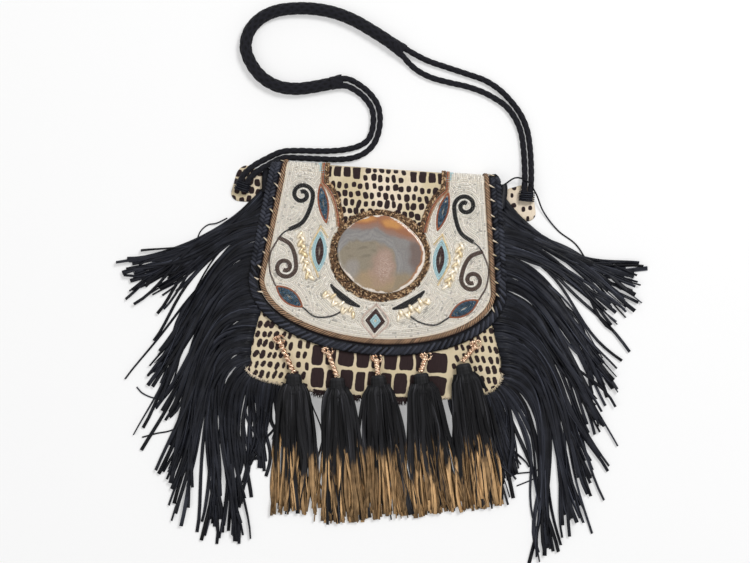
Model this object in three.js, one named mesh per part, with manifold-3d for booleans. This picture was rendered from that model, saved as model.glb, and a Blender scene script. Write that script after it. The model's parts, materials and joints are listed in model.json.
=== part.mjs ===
// Fringed shoulder bag with a beaded flap, lying on its back with the flap up.
// Millimetres: X across the bag, +Y towards the fold, +Z up from the floor at z = 0.
import * as THREE from "three";
import { mergeVertices } from "three/addons/utils/BufferGeometryUtils.js";
import Module from "manifold-3d";

const wasm = await Module();
wasm.setup();

// Driving sizes of the body
const clearance = 0.3; // left between pieces that touch
const leather = 2.4; // thickness of a leather panel
const bagLength = 250; // from the fold to the base
const topHalfWidth = 128; // half the front panel's width at the mouth
const baseHalfWidth = 143; // half its width above the lower corners
const mouthDepth = 16; // height of the front panel's face at the mouth
const baseDepth = 27; // height of the front panel's face at the base
const mouthInset = 24; // from the hinge line to the front panel's top edge
const splay = 2; // how far the gusset spreads from the front edge to the back edge
const rim = 2; // how far the back panel reaches past the gusset
const liningThickness = 1;
const liningMargin = 6;

// Driving sizes of the flap
const flapLift = 5; // from the front panel's face up to the middle of the flap panel
const flapTopHalf = 116;
const flapLowHalf = 131;
const flapStraight = 119; // length of the flap's straight sides below the hinge
const flapRound = 65; // depth of its round end
const hingeGap = 1.6; // from the hinge line to the flap panel
const foldOpening = 0.4; // angle left free at the fold's upper end, radians
const fieldStart = 7; // from the hinge line to the beadwork
const beadHeight = 1.5;
const edgeCordWidth = 7.5;
const edgeCordHeight = 2.5;
const lacingWidth = 12;
const lacingTop = 2;
const windowTopHalf = 67; // hide window between the two corded edges
const windowStraight = 3; // length of its straight sides at the top
const windowCordWidth = 5;
const bezelHalfWidth = 56;
const bezelHalfLength = 51;
const bezelHeight = 4.5;
const stoneHalfWidth = 48.5;
const stoneHalfLength = 43;
const stoneHeight = 8;
const stoneY = -86; // from the hinge line
const windowMeets = (35 * Math.PI) / 180; // where the corded edges meet the bezel
const snapRadius = 9;
const snapHeight = 1.4;
const snapY = -152;
const bandHalfWidth = 2.2; // of the beaded scrolls

// Driving sizes of the trimmings
const fringeStrands = 21;
const strandHalfWidth = 3.2;
const strandThickness = 1.4;
const strandFall = 72; // length over which a strand drops from the seam to the floor
const topStrandLength = 180;
const leftStrandLength = 222; // of the lowest strands
const rightStrandLength = 218;
const leftFringeInset = 12; // from the mouth to the first strand
const rightFringeInset = 3;
const headerWidth = 4;
const tasselPitch = 54; // between the places where the tassels are sewn on
const tasselMiddle = 4; // where the middle one is sewn on
const tasselGap = 4; // from the lacing to the nearest ones
const loopRadius = 2.6;
const loopSeat = 0.7 * loopRadius; // height of a loop's middle where it is sewn on
const headLength = 22;
const headTopRadius = 8.5;
const headRadius = 10.5;
const headFlat = 0.62;
const skirtLength = 128;
const skirtHalfWidth = 21;
const skirtStrands = 6;
// Each tassel in turn: how much lower it is sewn on, how far aside its head hangs, its loop's length
const hangs = [
  { lower: 11, aside: 19, loop: 33 },
  { lower: 0, aside: 12.5, loop: 26 },
  { lower: 0, aside: 3, loop: 16 },
  { lower: 0, aside: -4.5, loop: 16 },
  { lower: 6, aside: -13.5, loop: 18 },
];
const tabWidth = 36;
const tabLength = 40;
const tabThickness = 4;
const cordRadius = 3.25;
const sleeveRadius = 6.75;
const stepsPerDiameter = 0.36;

// Frame of the sloping front: its origin is the hinge line, its XY plane the middle of the flap panel
const hingeHeight = mouthDepth + flapLift;
const foldRadius = (hingeHeight - leather / 2) / 2;
const hingeY = bagLength / 2 - foldRadius - leather / 2;
const tilt = Math.atan2(baseDepth - mouthDepth, bagLength);
const frontLength = bagLength - 8;
const sideEnd = -0.82 * frontLength; // where the front panel's straight sides end
const bag = new THREE.Group();
const slope = new THREE.Group();
slope.position.set(0, hingeY, hingeHeight);
slope.rotation.x = -tilt;
bag.add(slope);
slope.updateMatrixWorld(true);

// Heights in the sloping frame
const frontFace = -flapLift;
const frontBack = frontFace - leather;
const beadFloor = leather / 2 + clearance;
const motifFloor = beadFloor + beadHeight + clearance;

// Colours and surfaces
const looks = {
  hide: { color: 0xd6c09c, roughness: 0.85, metalness: 0 },
  back: { color: 0x2a2422, roughness: 0.7, metalness: 0 },
  lining: { color: 0x4a3d34, roughness: 0.95, metalness: 0 },
  blackLeather: { color: 0x202128, roughness: 0.6, metalness: 0 },
  whiteBead: { color: 0xc8c1b5, roughness: 0.35, metalness: 0 },
  bronzeCord: { color: 0x7d6654, roughness: 0.5, metalness: 0.3 },
  blackBead: { color: 0x1b191c, roughness: 0.3, metalness: 0 },
  brownBead: { color: 0x57473d, roughness: 0.35, metalness: 0 },
  blueBead: { color: 0x33506a, roughness: 0.3, metalness: 0 },
  turquoiseBead: { color: 0x86b5c0, roughness: 0.35, metalness: 0 },
  goldBead: { color: 0xb79d72, roughness: 0.3, metalness: 0.5 },
  agate: { color: 0xa0897a, roughness: 0.15, metalness: 0 },
  roseGold: { color: 0xdcae8c, roughness: 0.35, metalness: 0.6 },
  steel: { color: 0xa8a8a8, roughness: 0.35, metalness: 0.9 },
  cord: { color: 0x1d1d25, roughness: 0.9, metalness: 0 },
};

// Closed solids

function shared(geometry) {
  const bare = geometry.clone();
  bare.deleteAttribute("normal");
  bare.deleteAttribute("uv");
  return mergeVertices(bare);
}

function signedVolume(geometry) {
  const corners = geometry.getAttribute("position");
  const index = geometry.getIndex();
  const a = new THREE.Vector3();
  const b = new THREE.Vector3();
  const c = new THREE.Vector3();
  let volume = 0;
  for (let i = 0; i < index.count; i += 3) {
    a.fromBufferAttribute(corners, index.getX(i));
    b.fromBufferAttribute(corners, index.getX(i + 1));
    c.fromBufferAttribute(corners, index.getX(i + 2));
    volume += a.dot(b.cross(c)) / 6;
  }
  return volume;
}

function facingOut(geometry) {
  const solid = geometry.getIndex() ? geometry : shared(geometry);
  if (signedVolume(solid) < 0) {
    solid.setIndex(Array.from(solid.getIndex().array).reverse());
  }
  solid.computeVertexNormals();
  return solid;
}

function add(parent, name, geometry, look) {
  const mesh = new THREE.Mesh(facingOut(geometry), new THREE.MeshStandardMaterial(look));
  mesh.name = name;
  parent.add(mesh);
  return mesh;
}

// A solid through rings of points, with a flat cap at each end
function loft(rings) {
  const around = rings[0].length;
  const index = [];
  for (let r = 0; r + 1 < rings.length; r += 1) {
    for (let k = 0; k < around; k += 1) {
      const a = r * around + k;
      const b = r * around + ((k + 1) % around);
      index.push(a, b, b + around, a, b + around, a + around);
    }
  }
  const last = (rings.length - 1) * around;
  for (let k = 1; k + 1 < around; k += 1) {
    index.push(0, k + 1, k);
    index.push(last, last + k, last + k + 1);
  }
  const geometry = new THREE.BufferGeometry().setFromPoints(rings.flat());
  geometry.setIndex(index);
  return geometry;
}

function plate(outline, floor, thickness, hole) {
  const shape = new THREE.Shape(outline);
  if (hole) {
    shape.holes.push(new THREE.Path(hole));
  }
  const geometry = new THREE.ExtrudeGeometry(shape, { depth: thickness, bevelEnabled: false });
  geometry.translate(0, 0, floor);
  return geometry;
}

// A profile drawn in the YZ plane, drawn out along X to both sides
function acrossBag(profile, halfWidth) {
  const geometry = new THREE.ExtrudeGeometry(new THREE.Shape(profile), {
    depth: 2 * halfWidth,
    bevelEnabled: false,
  });
  geometry.translate(0, 0, -halfWidth);
  const turn = new THREE.Matrix4().makeBasis(
    new THREE.Vector3(0, 1, 0),
    new THREE.Vector3(0, 0, 1),
    new THREE.Vector3(1, 0, 0),
  );
  return geometry.applyMatrix4(turn);
}

function asManifold(geometry) {
  const solid = facingOut(geometry);
  return new wasm.Manifold(
    new wasm.Mesh({
      numProp: 3,
      vertProperties: new Float32Array(solid.getAttribute("position").array),
      triVerts: new Uint32Array(solid.getIndex().array),
    }),
  );
}

function fused(geometries) {
  const mesh = wasm.Manifold.union(geometries.map(asManifold)).getMesh();
  const geometry = new THREE.BufferGeometry();
  geometry.setAttribute("position", new THREE.Float32BufferAttribute(mesh.vertProperties, 3));
  geometry.setIndex(Array.from(mesh.triVerts));
  return geometry;
}

// Outlines: each runs from the right, round the base, to the left

function along(points, i) {
  const before = points[Math.max(i - 1, 0)];
  const after = points[Math.min(i + 1, points.length - 1)];
  return after.clone().sub(before).normalize();
}

// Moves an outline outwards by a distance, or by a distance that changes along it
function moved(points, distance) {
  return points.map((p, i) => {
    const d = typeof distance === "function" ? distance(i) : distance;
    const way = along(points, i);
    return new THREE.Vector2(p.x - way.y * d, p.y + way.x * d);
  });
}

// Half width of the front panel on its straight sides
function sideX(y) {
  return topHalfWidth + ((baseHalfWidth - topHalfWidth) * (y + mouthInset)) / (sideEnd + mouthInset);
}

function frontEdge() {
  const cornerX = 0.8 * baseHalfWidth;
  const cornerY = -0.955 * frontLength;
  const cornerPull = baseHalfWidth * 1.02;
  const path = new THREE.Path();
  path.moveTo(topHalfWidth, -mouthInset);
  path.lineTo(baseHalfWidth, sideEnd);
  path.quadraticCurveTo(cornerPull, cornerY * 0.98, cornerX, cornerY);
  path.quadraticCurveTo(cornerX / 2, -frontLength, 0, -frontLength);
  path.quadraticCurveTo(-cornerX / 2, -frontLength, -cornerX, cornerY);
  path.quadraticCurveTo(-cornerPull, cornerY * 0.98, -baseHalfWidth, sideEnd);
  path.lineTo(-topHalfWidth, -mouthInset);
  return path.getSpacedPoints(40);
}

function flapEdge(start, divisions) {
  const startHalf = flapTopHalf + ((flapLowHalf - flapTopHalf) * start) / flapStraight;
  const path = new THREE.Path();
  path.moveTo(startHalf, -start);
  path.lineTo(flapLowHalf, -flapStraight);
  path.absellipse(0, -flapStraight, flapLowHalf, flapRound, 0, -Math.PI, true);
  path.lineTo(-startHalf, -start);
  return path.getSpacedPoints(divisions);
}

// The lacing's lower edge at a distance x from the middle
function lacingEdgeY(x) {
  const reach = lacingWidth + clearance;
  const across = x / (flapLowHalf + reach);
  return -flapStraight - (flapRound + reach) * Math.sqrt(1 - across * across);
}

// A cord with a lobed section that turns along its path
function rope(path, around, halfWidth, halfHeight, lump, turn) {
  const lobes = 2;
  const rings = path.map((p, i) => {
    const way = path[Math.min(i + 1, path.length - 1)].clone().sub(path[Math.max(i - 1, 0)]).normalize();
    const side = new THREE.Vector3(way.y, -way.x, 0).normalize();
    const up = side.clone().cross(way);
    return Array.from({ length: around }, (_, k) => {
      const angle = (2 * Math.PI * k) / around;
      const size = 1 - lump * (0.5 - 0.5 * Math.cos(lobes * angle - turn * i));
      return p
        .clone()
        .addScaledVector(side, halfWidth * size * Math.cos(angle))
        .addScaledVector(up, halfHeight * size * Math.sin(angle));
    });
  });
  return loft(rings);
}

function raised(points, height) {
  return points.map((p) => new THREE.Vector3(p.x, p.y, height));
}

// Body: back panel, gusset, front panel, lining and fold

function buildBody() {
  const edge = frontEdge();
  const corners = edge.length;
  const inWorld = (p, z) => slope.localToWorld(new THREE.Vector3(p.x, p.y, z));

  const plan = edge.map((p) => inWorld(p, frontBack - clearance));
  const flat = plan.map((p) => new THREE.Vector2(p.x, p.y));
  const backEdge = moved(flat, splay + rim);
  const backTop = hingeY - clearance;
  const backOutline = [
    new THREE.Vector2(backEdge[0].x, backTop),
    ...backEdge,
    new THREE.Vector2(backEdge[corners - 1].x, backTop),
  ];
  add(bag, "back_panel", plate(backOutline, 0, leather), looks.back);

  const gussetInset = 1;
  const feet = moved(flat, splay);
  const feetInside = moved(flat, splay - leather);
  const tops = moved(flat, -gussetInset);
  const topsInside = moved(flat, -gussetInset - leather);
  const floor = leather + clearance;
  const rings = plan.map((p, i) => [
    new THREE.Vector3(feet[i].x, feet[i].y, floor),
    new THREE.Vector3(tops[i].x, tops[i].y, p.z),
    new THREE.Vector3(topsInside[i].x, topsInside[i].y, p.z),
    new THREE.Vector3(feetInside[i].x, feetInside[i].y, floor),
  ]);
  add(bag, "gusset", loft(rings), looks.hide);

  add(slope, "front_panel", plate(edge, frontBack, leather), looks.hide);

  const liningBase = -0.9 * frontLength;
  const topAt = (y) => inWorld(new THREE.Vector2(0, y), frontBack - clearance);
  const mouth = topAt(-mouthInset);
  const base = topAt(liningBase);
  const skin = liningThickness;
  const profile = [
    new THREE.Vector2(mouth.y, floor),
    new THREE.Vector2(mouth.y, floor + skin),
    new THREE.Vector2(base.y + skin, floor + skin),
    new THREE.Vector2(base.y + skin, base.z - skin),
    new THREE.Vector2(mouth.y, mouth.z - skin),
    new THREE.Vector2(mouth.y, mouth.z),
    new THREE.Vector2(base.y, base.z),
    new THREE.Vector2(base.y, floor),
  ];
  add(bag, "lining", acrossBag(profile, topHalfWidth - liningMargin), looks.lining);

  const centreHeight = foldRadius + leather / 2;
  const foldEnd = Math.PI / 2 - foldOpening;
  const arc = new THREE.Shape();
  arc.absarc(hingeY, centreHeight, foldRadius + leather / 2, -Math.PI / 2, foldEnd, false);
  arc.absarc(hingeY, centreHeight, foldRadius - leather / 2, foldEnd, -Math.PI / 2, true);
  add(bag, "flap_fold", acrossBag(arc.getPoints(10), flapTopHalf - 1), looks.hide);
}

// Flap: panel, beadwork, cords, lacing, stone and snap

function windowEdge(side) {
  const path = new THREE.Path();
  const meetX = (bezelHalfWidth + clearance) * Math.cos(windowMeets);
  const meetY = stoneY + (bezelHalfLength + clearance) * Math.sin(windowMeets);
  path.moveTo(side * windowTopHalf, -fieldStart);
  path.lineTo(side * windowTopHalf, -fieldStart - windowStraight);
  path.quadraticCurveTo(side * meetX * 1.1, -fieldStart - 14, side * meetX, meetY);
  return path.getPoints(8);
}

function ellipse(halfWidth, halfLength, from, to, divisions) {
  return Array.from({ length: divisions + 1 }, (_, i) => {
    const angle = from + ((to - from) * i) / divisions;
    return new THREE.Vector2(halfWidth * Math.cos(angle), stoneY + halfLength * Math.sin(angle));
  });
}

// The slice's uneven outline, a fraction of its half sizes
function stoneOutline(grow) {
  const corners = 28;
  return Array.from({ length: corners }, (_, i) => {
    const angle = (2 * Math.PI * i) / corners;
    const wave = 1 + 0.02 * Math.cos(3 * angle + 0.6) + 0.014 * Math.cos(5 * angle - 1);
    return new THREE.Vector2(
      (stoneHalfWidth * wave + grow) * Math.cos(angle),
      stoneY + (stoneHalfLength * wave + grow) * Math.sin(angle),
    );
  });
}

function buildFlap() {
  const panelEdge = flapEdge(hingeGap, 36);
  add(slope, "flap_panel", plate(panelEdge, -leather / 2, leather), looks.hide);

  const beadEdge = flapEdge(fieldStart, 36);
  const bezelPath = ellipse(
    bezelHalfWidth + clearance,
    bezelHalfLength + clearance,
    Math.PI - windowMeets,
    2 * Math.PI + windowMeets,
    26,
  );
  const field = [
    ...moved(beadEdge, -edgeCordWidth - clearance),
    ...windowEdge(-1).slice(0, -1),
    ...bezelPath,
    ...windowEdge(1).reverse().slice(1),
  ];
  add(slope, "bead_field", plate(field, beadFloor, beadHeight), looks.whiteBead);

  const cordMiddle = beadFloor + edgeCordHeight / 2;
  const edgePath = raised(moved(beadEdge, -edgeCordWidth / 2), cordMiddle);
  const edgeCord = rope(edgePath, 6, edgeCordWidth / 2, edgeCordHeight / 2, 0.1, 1.6);
  add(slope, "edge_cord", edgeCord, looks.bronzeCord);

  for (const [side, name] of [[-1, "left"], [1, "right"]]) {
    const inside = side * (windowCordWidth / 2 + clearance);
    const path = moved(windowEdge(side), -inside).slice(0, -1);
    const cord = rope(raised(path, cordMiddle), 6, windowCordWidth / 2, edgeCordHeight / 2, 0.1, 1.6);
    add(slope, `${name}_window_cord`, cord, looks.bronzeCord);
  }

  const lacingFloor = frontFace + clearance;
  const lacingMiddle = (lacingFloor + lacingTop) / 2;
  const lacingPath = raised(moved(flapEdge(hingeGap, 64), clearance + lacingWidth / 2), lacingMiddle);
  const lacing = rope(lacingPath, 6, lacingWidth / 2, (lacingTop - lacingFloor) / 2, 0.2, 1.9);
  add(slope, "flap_lacing", lacing, looks.blackLeather);

  const ring = ellipse(bezelHalfWidth, bezelHalfLength, 0, 2 * Math.PI, 32).slice(0, -1);
  const bezel = plate(ring, beadFloor, bezelHeight, stoneOutline(clearance));
  add(slope, "stone_bezel", bezel, looks.bronzeCord);
  const bevel = 1.5;
  const stone = new THREE.ExtrudeGeometry(new THREE.Shape(stoneOutline(-bevel)), {
    depth: stoneHeight - 2 * bevel,
    bevelThickness: bevel,
    bevelSize: bevel,
    bevelSegments: 1,
  });
  stone.translate(0, 0, beadFloor + bevel);
  add(slope, "stone", stone, looks.agate);

  const snapSides = 20;
  const disc = new THREE.CylinderGeometry(snapRadius, snapRadius, snapHeight, snapSides).rotateX(Math.PI / 2);
  const snapLow = frontFace + clearance + snapHeight / 2;
  add(slope, "snap_base", disc.clone().translate(0, snapY, snapLow), looks.steel);
  const snapHigh = -leather / 2 - clearance - snapHeight / 2;
  add(slope, "snap_cap", disc.clone().translate(0, snapY, snapHigh), looks.steel);
}

// Beaded ornaments, drawn for the right half and mirrored for the left

function mirrored(points, side) {
  return points.map((p) => new THREE.Vector2(side * p.x, p.y));
}

function band(points, halfWidthAt) {
  return [...moved(points, halfWidthAt), ...moved(points, (i) => -halfWidthAt(i)).reverse()];
}

// A spiral from the middle outwards that runs on into a tail
function scroll(centre, radius, turns, clockwise, tail) {
  const steps = 16;
  const innerRadius = 3.2;
  const spiral = Array.from({ length: steps + 1 }, (_, i) => {
    const left = (1 - i / steps) * turns * 2 * Math.PI;
    const angle = Math.PI + (clockwise ? left : -left);
    const r = innerRadius + ((radius - innerRadius) * i) / steps;
    return new THREE.Vector3(centre.x + r * Math.cos(angle), centre.y + r * Math.sin(angle), 0);
  });
  const ends = tail.map((p) => new THREE.Vector3(p.x, p.y, 0));
  const curve = new THREE.CatmullRomCurve3([...spiral, ...ends]);
  return curve.getPoints(24).map((p) => new THREE.Vector2(p.x, p.y));
}

function leaf(from, to, halfWidth) {
  const middle = from.clone().add(to).multiplyScalar(0.5);
  const way = to.clone().sub(from).normalize();
  const pull = new THREE.Vector2(-way.y, way.x).multiplyScalar(2 * halfWidth);
  const path = new THREE.Path();
  path.moveTo(from.x, from.y);
  path.quadraticCurveTo(middle.x + pull.x, middle.y + pull.y, to.x, to.y);
  path.quadraticCurveTo(middle.x - pull.x, middle.y - pull.y, from.x, from.y);
  return path.getPoints(8).slice(0, -1);
}

function through(points, divisions) {
  const curve = new THREE.CatmullRomCurve3(points.map((p) => new THREE.Vector3(p.x, p.y, 0)));
  return curve.getPoints(divisions).map((p) => new THREE.Vector2(p.x, p.y));
}

function buildOrnaments() {
  const at = (x, y) => new THREE.Vector2(x, y);
  const even = () => bandHalfWidth;
  const toothed = (i) => (i % 2 ? 4.4 : 2);
  const crescent = ellipse(64, 60, (-36 * Math.PI) / 180, (-74 * Math.PI) / 180, 14);
  const fan = ellipse(73, 69, (-40 * Math.PI) / 180, (-70 * Math.PI) / 180, 18);
  const ornaments = {
    scroll_upper: [
      band(scroll(at(90, -25), 12, 1.3, false, [at(81, -42), at(88, -56), at(101, -64)]), even),
      looks.blackBead,
    ],
    leaf_upper: [leaf(at(71, -10), at(61, -56), 6), looks.blueBead],
    almond: [leaf(at(67, -63), at(66, -109), 7), looks.turquoiseBead],
    spray: [band(through([at(88, -67), at(85, -88), at(76, -114)], 16), toothed), looks.goldBead],
    scroll_lower: [
      band(scroll(at(103, -106), 12, 1.3, true, [at(94, -90), at(100, -80), at(112, -74)]), even),
      looks.brownBead,
    ],
    leaf_lower: [leaf(at(112, -127), at(80, -149), 7), looks.blueBead],
    crescent: [band(crescent, (i) => 1 + 2.6 * Math.sin((Math.PI * i) / 14)), looks.blackBead],
    fan: [band(fan, toothed), looks.goldBead],
  };
  for (const [side, sideName] of [[-1, "left"], [1, "right"]]) {
    for (const [name, [outline, look]] of Object.entries(ornaments)) {
      add(slope, `${sideName}_${name}`, plate(mirrored(outline, side), motifFloor, beadHeight), look);
    }
  }
  const lozenge = [at(0, -144), at(11, -158), at(0, -172), at(-11, -158)];
  add(slope, "lozenge", plate(lozenge, motifFloor, beadHeight), looks.turquoiseBead);
}

// Fringes: a header strip along each side seam with strands that drop to the floor

function smooth(t) {
  const s = Math.min(Math.max(t, 0), 1);
  return s * s * (3 - 2 * s);
}

// A flat strip along a path of points, level across its width
function strip(path, halfWidth, thickness) {
  const rings = path.map((p, i) => {
    const way = path[Math.min(i + 1, path.length - 1)].clone().sub(path[Math.max(i - 1, 0)]);
    const side = new THREE.Vector3(way.y, -way.x, 0).setLength(halfWidth);
    const lift = new THREE.Vector3(0, 0, thickness / 2);
    return [
      p.clone().sub(side).sub(lift),
      p.clone().add(side).sub(lift),
      p.clone().add(side).add(lift),
      p.clone().sub(side).add(lift),
    ];
  });
  return loft(rings);
}

function strand(root, heading, bend, length, floor) {
  const stations = [0, 0.12, 0.25, 0.42, 1];
  const path = [root];
  let here = root.clone();
  for (let k = 1; k < stations.length; k += 1) {
    const step = (stations[k] - stations[k - 1]) * length;
    const way = heading + bend * stations[k];
    here = new THREE.Vector3(here.x + step * Math.cos(way), here.y + step * Math.sin(way), 0);
    here.z = root.z + (floor - root.z) * smooth((stations[k] * length) / strandFall);
    path.push(here);
  }
  return strip(path, strandHalfWidth, strandThickness);
}

function buildFringe(side, name, inset, firstAngle, lastAngle, lastLength) {
  const startY = -mouthInset - inset;
  const headerEnd = sideEnd - 4;
  const middle = (frontFace + frontBack) / 2;
  const inner = clearance + headerWidth / 2;
  const headerPath = [startY, headerEnd].map((y) => new THREE.Vector3(side * (sideX(y) + inner), y, middle));
  const header = strip(headerPath, headerWidth / 2, leather).applyMatrix4(slope.matrixWorld);
  const pieces = [header];
  for (let i = 0; i < fringeStrands; i += 1) {
    const t = (i + 0.5) / fringeStrands;
    const y = startY + (headerEnd - startY) * t;
    const uneven = Math.sin(i * 2.4);
    const down = firstAngle + (lastAngle - firstAngle) * Math.pow(t, 0.8) + 3 * Math.sin(i * 1.7);
    const radians = (down * Math.PI) / 180;
    const rootX = sideX(y) + 2 * clearance + strandHalfWidth * Math.sin(radians);
    const root = slope.localToWorld(new THREE.Vector3(side * rootX, y, middle));
    const heading = side > 0 ? -radians : Math.PI + radians;
    const length = (topStrandLength + (lastLength - topStrandLength) * t) * (0.94 + 0.06 * uneven);
    const bend = -side * 0.13 * (1 - t) * (1 + Math.cos(i * 1.1));
    const floor = leather + clearance + strandThickness / 2 + 1.6 * (i % 3) + 0.011 * i;
    pieces.push(strand(root, heading, bend, length, floor));
  }
  add(bag, name, fused(pieces), looks.blackLeather);
}

// Tassels: a twisted loop on the front panel, a wrapped head and a skirt of strands

function buildTassel(number) {
  const { lower, aside, loop } = hangs[number - 1];
  const place = number - (hangs.length + 1) / 2;
  const anchorX = tasselMiddle + place * tasselPitch;
  const anchorY = lacingEdgeY(anchorX) - tasselGap - lower;
  const anchorZ = frontFace + clearance + loopSeat;
  const swing = ((9 + 2.2 * place) * Math.PI) / 180;
  const group = new THREE.Group();
  group.position.copy(slope.localToWorld(new THREE.Vector3(anchorX, anchorY, anchorZ)));
  bag.add(group);
  const name = `tassel_${number}`;

  const rise = headRadius * headFlat + (loop + 0.9 * headLength) * Math.tan(tilt) - loopSeat;
  const steps = 7;
  const loopPath = Array.from({ length: steps + 1 }, (_, i) => {
    const t = i / steps;
    return new THREE.Vector3(aside * t, -loop * t, rise * t);
  });
  add(group, `${name}_loop`, rope(loopPath, 6, loopRadius, loopRadius, 0.3, 1.1), looks.roseGold);

  const hang = new THREE.Group();
  hang.position.set(aside, -loop, rise);
  hang.rotation.z = swing;
  group.add(hang);
  const head = new THREE.CylinderGeometry(headTopRadius, headRadius, headLength, 12);
  head.scale(1, 1, headFlat);
  const bendAtHead = Math.abs(swing - Math.atan2(aside, loop));
  const headTop = clearance + loopRadius * (Math.sin(bendAtHead) + rise / loop / 2);
  head.translate(0, -headTop - headLength / 2, 0);
  add(hang, `${name}_head`, head, looks.blackLeather);

  const skirtTop = -headTop - headLength - clearance;
  const drop = -group.position.z - rise;
  const stations = [0, 0.04, 0.2, 0.45, 1];
  const pieces = Array.from({ length: skirtStrands }, (_, j) => {
    const across = (2 * j) / (skirtStrands - 1) - 1;
    const layer = j % 2;
    const end = drop + strandThickness / 2 + clearance + 2.1 * layer + 0.01 * j;
    const reach = skirtLength * (0.96 + 0.04 * Math.sin(j * 2.1 + number));
    const path = stations.map((t) => {
      const opened = Math.sqrt(Math.max(t - stations[1], 0));
      const spread = headRadius * 0.62 + (skirtHalfWidth - headRadius * 0.62) * opened;
      return new THREE.Vector3(across * spread, skirtTop - reach * t, end * smooth(t / 0.5));
    });
    return strip(path, strandHalfWidth, strandThickness * 1.2);
  });
  add(hang, `${name}_skirt`, fused(pieces), looks.blackLeather);
}

// Strap: tabs at the upper corners, two pairs of cords and a knitted sleeve between them

function buildTab(side, name) {
  const top = hingeY + 4;
  const inner = sideX(4 - tabLength) + splay + rim + 2 * clearance;
  const round = 8;
  const outline = new THREE.Shape();
  outline.moveTo(side * inner, top - tabLength);
  outline.lineTo(side * (inner + tabWidth - round), top - tabLength);
  outline.quadraticCurveTo(side * (inner + tabWidth), top - tabLength, side * (inner + tabWidth),
    top - tabLength + round);
  outline.lineTo(side * (inner + tabWidth * 0.85), top - round);
  outline.quadraticCurveTo(side * (inner + tabWidth * 0.82), top, side * (inner + tabWidth * 0.5), top);
  outline.lineTo(side * inner, top - round);
  add(bag, name, plate(outline.getPoints(5), clearance, tabThickness), looks.hide);
}

function tube(route, radius) {
  const curve = new THREE.CatmullRomCurve3(route.map(([x, y, z]) => new THREE.Vector3(x, y, z)));
  const sides = 8;
  const section = new THREE.Shape();
  for (let k = 0; k < sides; k += 1) {
    const angle = (2 * Math.PI * k) / sides;
    const method = k ? "lineTo" : "moveTo";
    section[method](radius * Math.cos(angle), radius * Math.sin(angle));
  }
  const steps = Math.round((curve.getLength() * stepsPerDiameter) / (2 * radius));
  return new THREE.ExtrudeGeometry(section, { steps, extrudePath: curve });
}

function buildStrap() {
  buildTab(-1, "left_strap_tab");
  buildTab(1, "right_strap_tab");
  const low = cordRadius + clearance;
  const high = sleeveRadius + clearance;
  const onTab = clearance + tabThickness + 2 * clearance + cordRadius;
  const sleeve = [
    [-63.2, 216.3, high], [-75, 213, high], [-90, 209.2, high], [-106, 206.5, high], [-126, 208, high],
    [-144.3, 216.9, high], [-157.6, 231.6, high], [-164.6, 248, high], [-162.2, 266, high],
    [-151, 281.3, high], [-133.8, 291.1, high], [-112, 295.6, high], [-91, 296.4, high],
    [-69, 293.8, high], [-46.5, 286.8, high], [-26.8, 277.3, high], [-11.3, 269, high], [2.7, 260.8, high],
  ];
  const rightUpper = [
    [5.2, 263.5, high], [14, 258.6, 6.6], [37.1, 248.6, low], [59.9, 242.4, low], [82.7, 236.6, low],
    [103.3, 230.8, low], [119.6, 221.9, low], [133.9, 209.5, low], [146.1, 194.7, low], [154, 178.4, low],
    [158.5, 158.6, low], [161, 138.6, 4.6], [161.9, 122, onTab], [162, 112, onTab], [161.7, 101, onTab],
  ];
  const rightLower = [
    [1.9, 257.2, high], [9.6, 251.4, 6.6], [17.8, 243.8, low], [27, 236.9, low], [42.9, 230, low],
    [63.3, 225.8, low], [83.7, 222.6, low], [102, 217.6, low], [116, 211.4, low], [128.6, 203.6, low],
    [139.9, 190.6, low], [147, 175.9, low], [151.2, 157.2, low], [153.7, 137.9, 4.6],
    [154.7, 122, onTab], [154.8, 112, onTab], [154.5, 101, onTab],
  ];
  const leftUpper = [
    [-61.7, 220.2, high], [-49, 221.5, 6.4], [-32, 213.9, low], [-21.4, 205.2, low], [-13.8, 194.7, low],
    [-10.5, 182.6, low], [-10.2, 171.4, low], [-11.7, 161.4, low], [-16, 150.5, low], [-24.9, 141, low],
    [-36.8, 134.9, low], [-53.2, 131.8, low], [-73.3, 130.9, low], [-94, 130.4, low], [-115.7, 128.8, low],
    [-129.5, 120.6, 7.2], [-143, 111.2, onTab], [-151.6, 101, onTab], [-154.6, 90, onTab],
  ];
  const leftLower = [
    [-61.1, 213, high], [-49.8, 213.5, 6.4], [-35.8, 207.3, low], [-26.9, 199.9, low], [-20.6, 191.4, low],
    [-17.9, 181.5, low], [-17.7, 171.8, low], [-18.9, 163.6, low], [-22.6, 155.2, low], [-32, 148.2, low],
    [-47.3, 143.1, low], [-62.8, 140.6, low], [-78.4, 139.3, low], [-98.3, 138.4, low], [-116.6, 136, low],
    [-133.5, 126.9, 5.2], [-148.5, 116.4, onTab], [-158.2, 105, onTab], [-161.8, 91, onTab],
  ];
  add(bag, "strap_sleeve", tube(sleeve, sleeveRadius), looks.cord);
  add(bag, "right_strap_cord_upper", tube(rightUpper, cordRadius), looks.cord);
  add(bag, "right_strap_cord_lower", tube(rightLower, cordRadius), looks.cord);
  add(bag, "left_strap_cord_upper", tube(leftUpper, cordRadius), looks.cord);
  add(bag, "left_strap_cord_lower", tube(leftLower, cordRadius), looks.cord);
}

buildBody();
buildFlap();
buildOrnaments();
buildFringe(-1, "left_fringe", leftFringeInset, 31, 82, leftStrandLength);
buildFringe(1, "right_fringe", rightFringeInset, 27, 73, rightStrandLength);
for (let number = 1; number <= hangs.length; number += 1) {
  buildTassel(number);
}
buildStrap();

export default bag;
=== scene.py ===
"""A fringed shoulder bag with a beaded flap, lying on its back and seen from above."""
import json
import math

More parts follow.
